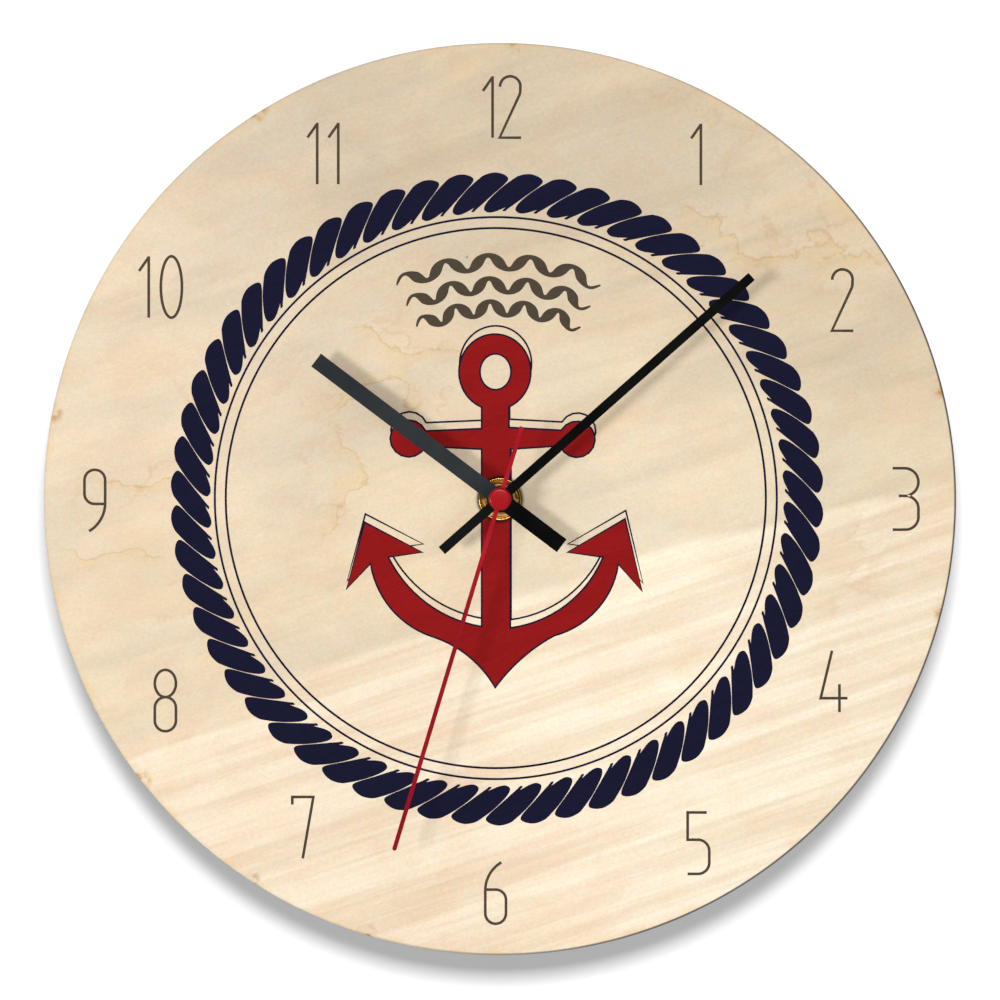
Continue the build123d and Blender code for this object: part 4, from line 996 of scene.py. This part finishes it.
ring_open = [(x, z) for x, z in ellipse(*ANCHOR_RING, ANCHOR_RING_STEPS)
             if z >= NECK_TOP or not NECK_LEFT[0] < x < NECK_RIGHT[0]]
first = ring_open.index(min(ring_open, key=lambda point: dist(point, NECK_LEFT)))
anchor_loop = anchor_body + [ring_open[first - k] for k in range(len(ring_open))]
anchor_eye = ellipse(*ANCHOR_EYE)
shifted = [(x + OUTLINE_SHIFT[0], z + OUTLINE_SHIFT[1]) for x, z in anchor_loop]
printed("anchor_shadow_line", [outlined(shifted, -1)], navy_ink)
printed("anchor_fill", [([anchor_loop, anchor_eye], PRINT)], red_ink)
printed("anchor_line", [outlined(anchor_loop, 1), outlined(anchor_eye, 2)], navy_ink)

# Three wave lines bent round an arc above the anchor, thick on the slopes and pointed at the ends
wave_solids = []
for middle_radius in WAVE_RADII:
    bent, widths = [], []
    for k in range(WAVE_STEPS + 1):
        share = k / WAVE_STEPS
        turn = radians(WAVE_HALF_SPAN * (2 * share - 1))
        phase = 2 * pi * WAVE_COUNT * share
        radius = middle_radius + WAVE_HEIGHT * sin(phase)
        bent.append((radius * sin(turn), radius * cos(turn)))
        full = WAVE_THIN + (WAVE_WIDE - WAVE_THIN) * cos(phase) ** 2
        taper = min(1, share / WAVE_TAPER, (1 - share) / WAVE_TAPER)
        widths.append(WAVE_POINT + (full - WAVE_POINT) * taper)
    wave_solids.append((ribbon(bent, widths), PRINT))
printed("wave_lines", wave_solids, taupe_ink)

# Washer
washer_face = WASHER_FRONT - WASHER_DROP
washer_profile = [
    (WASHER_BORE, WASHER_BACK), (WASHER_RADIUS - EASE, WASHER_BACK), (WASHER_RADIUS, WASHER_BACK + EASE),
    *round_edge(WASHER_RADIUS, WASHER_FRONT, LIP_ROUND, LIP_HEIGHT, 0, pi),
    (WASHER_RADIUS - GROOVE_OUT, WASHER_FRONT - GROOVE_DEPTH), (WASHER_RADIUS - GROOVE_IN, washer_face),
    (WASHER_BORE + EASE, washer_face), (WASHER_BORE, washer_face - EASE),
]
turned_piece("turned_washer", washer_profile, "clock_body", [brass], "brass_washer")


def nut_outline(turn):
    """Outline of the nut at one turn round the axis."""
    side = NUT_FLAT / cos((turn + pi / 6) % (pi / 3) - pi / 6)
    face = NUT_FLAT - NUT_FACE_INSET
    shoulder = NUT_FRONT - (side - face) * tan(NUT_CONE)
    return [(NUT_BORE, NUT_BACK), (side, NUT_BACK), (side, shoulder), (face, NUT_FRONT),
            (NUT_BORE + NUT_EASE, NUT_FRONT), (NUT_BORE, NUT_FRONT - NUT_EASE)]


nut = turned_piece("coned_nut", nut_outline, "clock_body", [nut_brass], "hex_nut", NUT_STEPS, NUT_CREASE)

# Bush
bush_profile = [(BUSH_BORE, BUSH_BACK), (BUSH_RADIUS, BUSH_BACK), (BUSH_RADIUS, COLLAR_FRONT)]
thread_count = int((BUSH_FRONT - COLLAR_FRONT - THREAD_END) / THREAD_PITCH)
for turn in range(thread_count):
    start = COLLAR_FRONT + THREAD_START + turn * THREAD_PITCH
    bush_profile += [(THREAD_RADIUS - THREAD_DEPTH, start), (THREAD_RADIUS, start + THREAD_PITCH / 2)]
bush_profile += [(THREAD_RADIUS - THREAD_DEPTH, BUSH_FRONT), (BUSH_BORE + BUSH_EASE, BUSH_FRONT),
                 (BUSH_BORE, BUSH_FRONT - BUSH_EASE)]
turned_piece("cut_thread_bush", bush_profile, "clock_body", [brass], "threaded_bush", crease=THREAD_CREASE)

# Cap of the second hand, slightly crowned with a soft shoulder
cap_profile = [
    (0.0, CAP_BACK), (CAP_RADIUS - EASE, CAP_BACK), (CAP_RADIUS, CAP_BACK + EASE),
    *round_edge(CAP_RADIUS, CAP_FRONT - CAP_CROWN, CAP_SHOULDER, CAP_SHOULDER, 0, pi / 2),
]
for k in range(1, CAP_CROWN_STEPS + 1):
    share = 1 - k / CAP_CROWN_STEPS
    cap_profile.append(((CAP_RADIUS - CAP_SHOULDER) * share, CAP_FRONT - CAP_CROWN * share ** 2))
cap = turned_piece("crowned_cap", cap_profile, "second_hand", [cap_red], "second_hand_cap")


# Polarity signs printed on the cell, wrapped round its outside and facing backwards
def wrapped_strip(shape, middle, half_along, half_round, thickness):
    """Thin closed strip laid round the cell."""
    axis_y = (sleeve_low.y + sleeve_high.y) / 2
    axis_z = (sleeve_low.z + sleeve_high.z) / 2
    inner = (sleeve_high.z - sleeve_low.z) / 2
    rows = []
    for k in range(CURVE_STEPS + 1):
        turn = half_round * MM / inner * (2 * k / CURVE_STEPS - 1)
        row = []
        for along, out in ((-1, 0), (1, 0), (1, 1), (-1, 1)):
            x = (middle + along * half_along) * MM
            reach = inner + out * thickness * MM
            row.append(shape.verts.new((x, axis_y + reach * cos(turn), axis_z + reach * sin(turn))))
        rows.append(row)
    for here, there in zip(rows, rows[1:]):
        for k in range(4):
            shape.faces.new((here[k], here[(k + 1) % 4], there[(k + 1) % 4], there[k]))
    shape.faces.new(rows[0])
    shape.faces.new(rows[-1])


signs = bmesh.new()
plus_x = sleeve_high.x / MM - SIGN_INSET
minus_x = sleeve_low.x / MM + SIGN_INSET / 2
wrapped_strip(signs, plus_x, SIGN_ARM, SIGN_WIDTH / 2, SIGN_THICK)
wrapped_strip(signs, plus_x, SIGN_WIDTH / 2, SIGN_ARM, SIGN_THICK + SIGN_STEP)
wrapped_strip(signs, minus_x, SIGN_WIDTH / 2, SIGN_ARM, SIGN_THICK)
cell_print = link("cell_signs", finish_mesh("cell_signs", signs), "battery", [sign_white])

# CAD nodes behind the dial, the hands, and the inside of the movement
behind = dressed((
    (zinc, 0.18, "hanger_plate"),
    (rubber, 0.3, "rubber_pad"),
    (black_case, 0.1, "rear_housing"),
    (black_case, 0.12, "front_cover"),
    (black_knob, 0.12, "setting_knob"),
    (steel, 0.1, "battery_can"),
    (wrap, 0.08, "battery_sleeve"),
    (nickel, 0.05, "positive_contact negative_contact"),
))
hands = dressed((
    (hour_black, 0.08, "hour_hand_blade"),
    (minute_black, 0.08, "minute_hand_blade"),
    (second_red, 0.12, "second_hand_blade"),
    (brass, 0.08, "hour_hand_collet minute_hand_collet"),
    (brass, 0.06, "second_hand_tube"),
))
dressed((
    (steel, 0.1, "quartz_crystal"),
    (brass, 0.0, "minute_arbor"),
    (steel, 0.0, "second_arbor"),
    (natural, 0.0, "middle_plate second_wheel third_wheel centre_wheel rotor_pinion"),
    (natural, 0.0, "motion_wheel hour_wheel setting_pinion"),
    (signal, 0.0, "intermediate_wheel"),
    (magnet, 0.1, "rotor_magnet"),
    (zinc, 0.0, "stator_plate coil_core"),
    (green, 0.0, "coil_bobbin"),
    (copper, 0.0, "coil_winding"),
    (board, 0.0, "circuit_board"),
    (resin, 0.0, "chip_cover"),
))


# Wall and floor
def one_sided(name, shade):
    """Plain matt stage surface that is seen from its front only."""
    material = bpy.data.materials.new(name)
    material.use_nodes = True
    made = Nodes(material.node_tree)
    matt = made.node("ShaderNodeBsdfDiffuse", {"Color": shade})
    clear = made.node("ShaderNodeBsdfTransparent", {})
    back = made.node("ShaderNodeNewGeometry", {}, "Backfacing")
    both = made.node("ShaderNodeMixShader", {0: back, 1: matt, 2: clear})
    made.feed(made.tree.nodes["Material Output"].inputs["Surface"], both)
    made.tree.nodes.remove(made.tree.nodes["Principled BSDF"])
    return material


def backdrop(name, corners, material):
    """One flat stage surface."""
    mesh = bpy.data.meshes.new(name)
    mesh.from_pydata(corners, [], [(0, 1, 2, 3)])
    mesh.materials.append(material)
    made = placed(name, mesh)
    return made


wall_corners = [(across * WALL_HALF, WALL_Y, up * WALL_HALF) for across, up in CORNERS]
wall = backdrop("wall", wall_corners, one_sided("pale_wall", WALL_WHITE))
adjust(wall, visible_shadow=False, visible_diffuse=False, visible_glossy=False)
floor_corners = [(across * FLOOR_HALF, back * FLOOR_HALF, FLOOR_Z) for across, back in CORNERS]
floor = backdrop("floor", floor_corners, one_sided("pale_floor", FLOOR_PALE))
floor.visible_diffuse = False


# Lights
def softbox(name, light, aim):
    """Square light whose share of the light level reaches a face at the aim that looks towards it."""
    away = Vector(light.place) - Vector(aim)
    energy = light.share * LIGHT_LEVEL * pi * pi * away.length_squared
    made = placed(name, adjust(bpy.data.lights.new(name, "AREA"), size=light.size, energy=energy))
    return adjust(made, location=light.place, visible_camera=False, rotation_mode="QUATERNION",
                  rotation_quaternion=away.to_track_quat("Z", "Y"))


def gathered(name, pieces):
    """A collection of pieces for light linking."""
    made = bpy.data.collections.new(name)
    for piece in pieces:
        made.objects.link(piece)
    return made


dial_aim = (0.0, -DIAL_FRONT * MM, 0.0)
wall_aim = (0, 0, 0)
key = softbox("key_left", KEY_LEFT, dial_aim)
top = softbox("key_above", KEY_ABOVE, dial_aim)
softbox("rear_left", REAR_LEFT, wall_aim)
softbox("rear_right", REAR_RIGHT, wall_aim)
top.light_linking.blocker_collection = gathered("casts_dial_shadow", [plywood])
key.light_linking.blocker_collection = gathered("casts_hand_shadow", [*hands, nut, cap])
unlit = gathered("outside_key_light", [wall, floor, cell_print, *behind])
key.light_linking.receiver_collection = unlit
for entry in unlit.collection_objects:
    entry.light_linking.link_state = "EXCLUDE"

# The floor has a light of its own
wash = placed("floor_wash", adjust(bpy.data.lights.new("floor_wash", "SUN"), energy=FLOOR_WASH))
wash.light_linking.receiver_collection = gathered("floor_only", [floor])

# Surroundings: white to the camera, one level for the light and a ramp for reflections
world = bpy.data.worlds.new("studio")
world.use_nodes = True
scene.world = world
studio = Nodes(world.node_tree)
ray = studio.tree.nodes.new("ShaderNodeLightPath")
ramp = studio.tree.nodes.new("ShaderNodeValToRGB")
ramp.color_ramp.interpolation = "EASE"
while len(ramp.color_ramp.elements) < len(REFLECTED):
    ramp.color_ramp.elements.new(1.0)
for stop, (position, level) in zip(ramp.color_ramp.elements, REFLECTED):
    stop.position = position
    stop.color = (level, level, level, 1.0)
look = studio.parts(studio.node("ShaderNodeTexCoord", {}, "Generated"))
studio.feed(ramp.inputs[0], studio.math("ABSOLUTE", look[1]))
mirrored = studio.product(ramp.outputs[0], REFLECTED_LEVEL)
lit = WORLD_SHARE * LIGHT_LEVEL
shine = studio.node("ShaderNodeMix", {0: ray.outputs["Is Glossy Ray"], 2: lit, 3: mirrored})
strength = studio.node("ShaderNodeMix", {0: ray.outputs["Is Camera Ray"], 2: shine, 3: 1.0})
background = studio.tree.nodes["Background"]
background.inputs["Color"].default_value = WORLD_WHITE
studio.feed(background.inputs["Strength"], strength)
scene.view_settings.view_transform = "Standard"

# Camera straight in front, as in the picture
pixel = MM / PIXELS_PER_MM
lens = bpy.data.cameras.new("camera")
lens.lens = lens.sensor_width * CAMERA_DISTANCE / (PICTURE_SIZE * pixel)
camera = placed("camera", lens)
shift_x = (PICTURE_SIZE / 2 - DIAL_PIXEL[0]) * pixel
shift_z = (DIAL_PIXEL[1] - PICTURE_SIZE / 2) * pixel
camera.location = (shift_x, -DIAL_FRONT * MM - CAMERA_DISTANCE, shift_z)
camera.rotation_euler = (radians(90), 0, 0)
scene.camera = camera
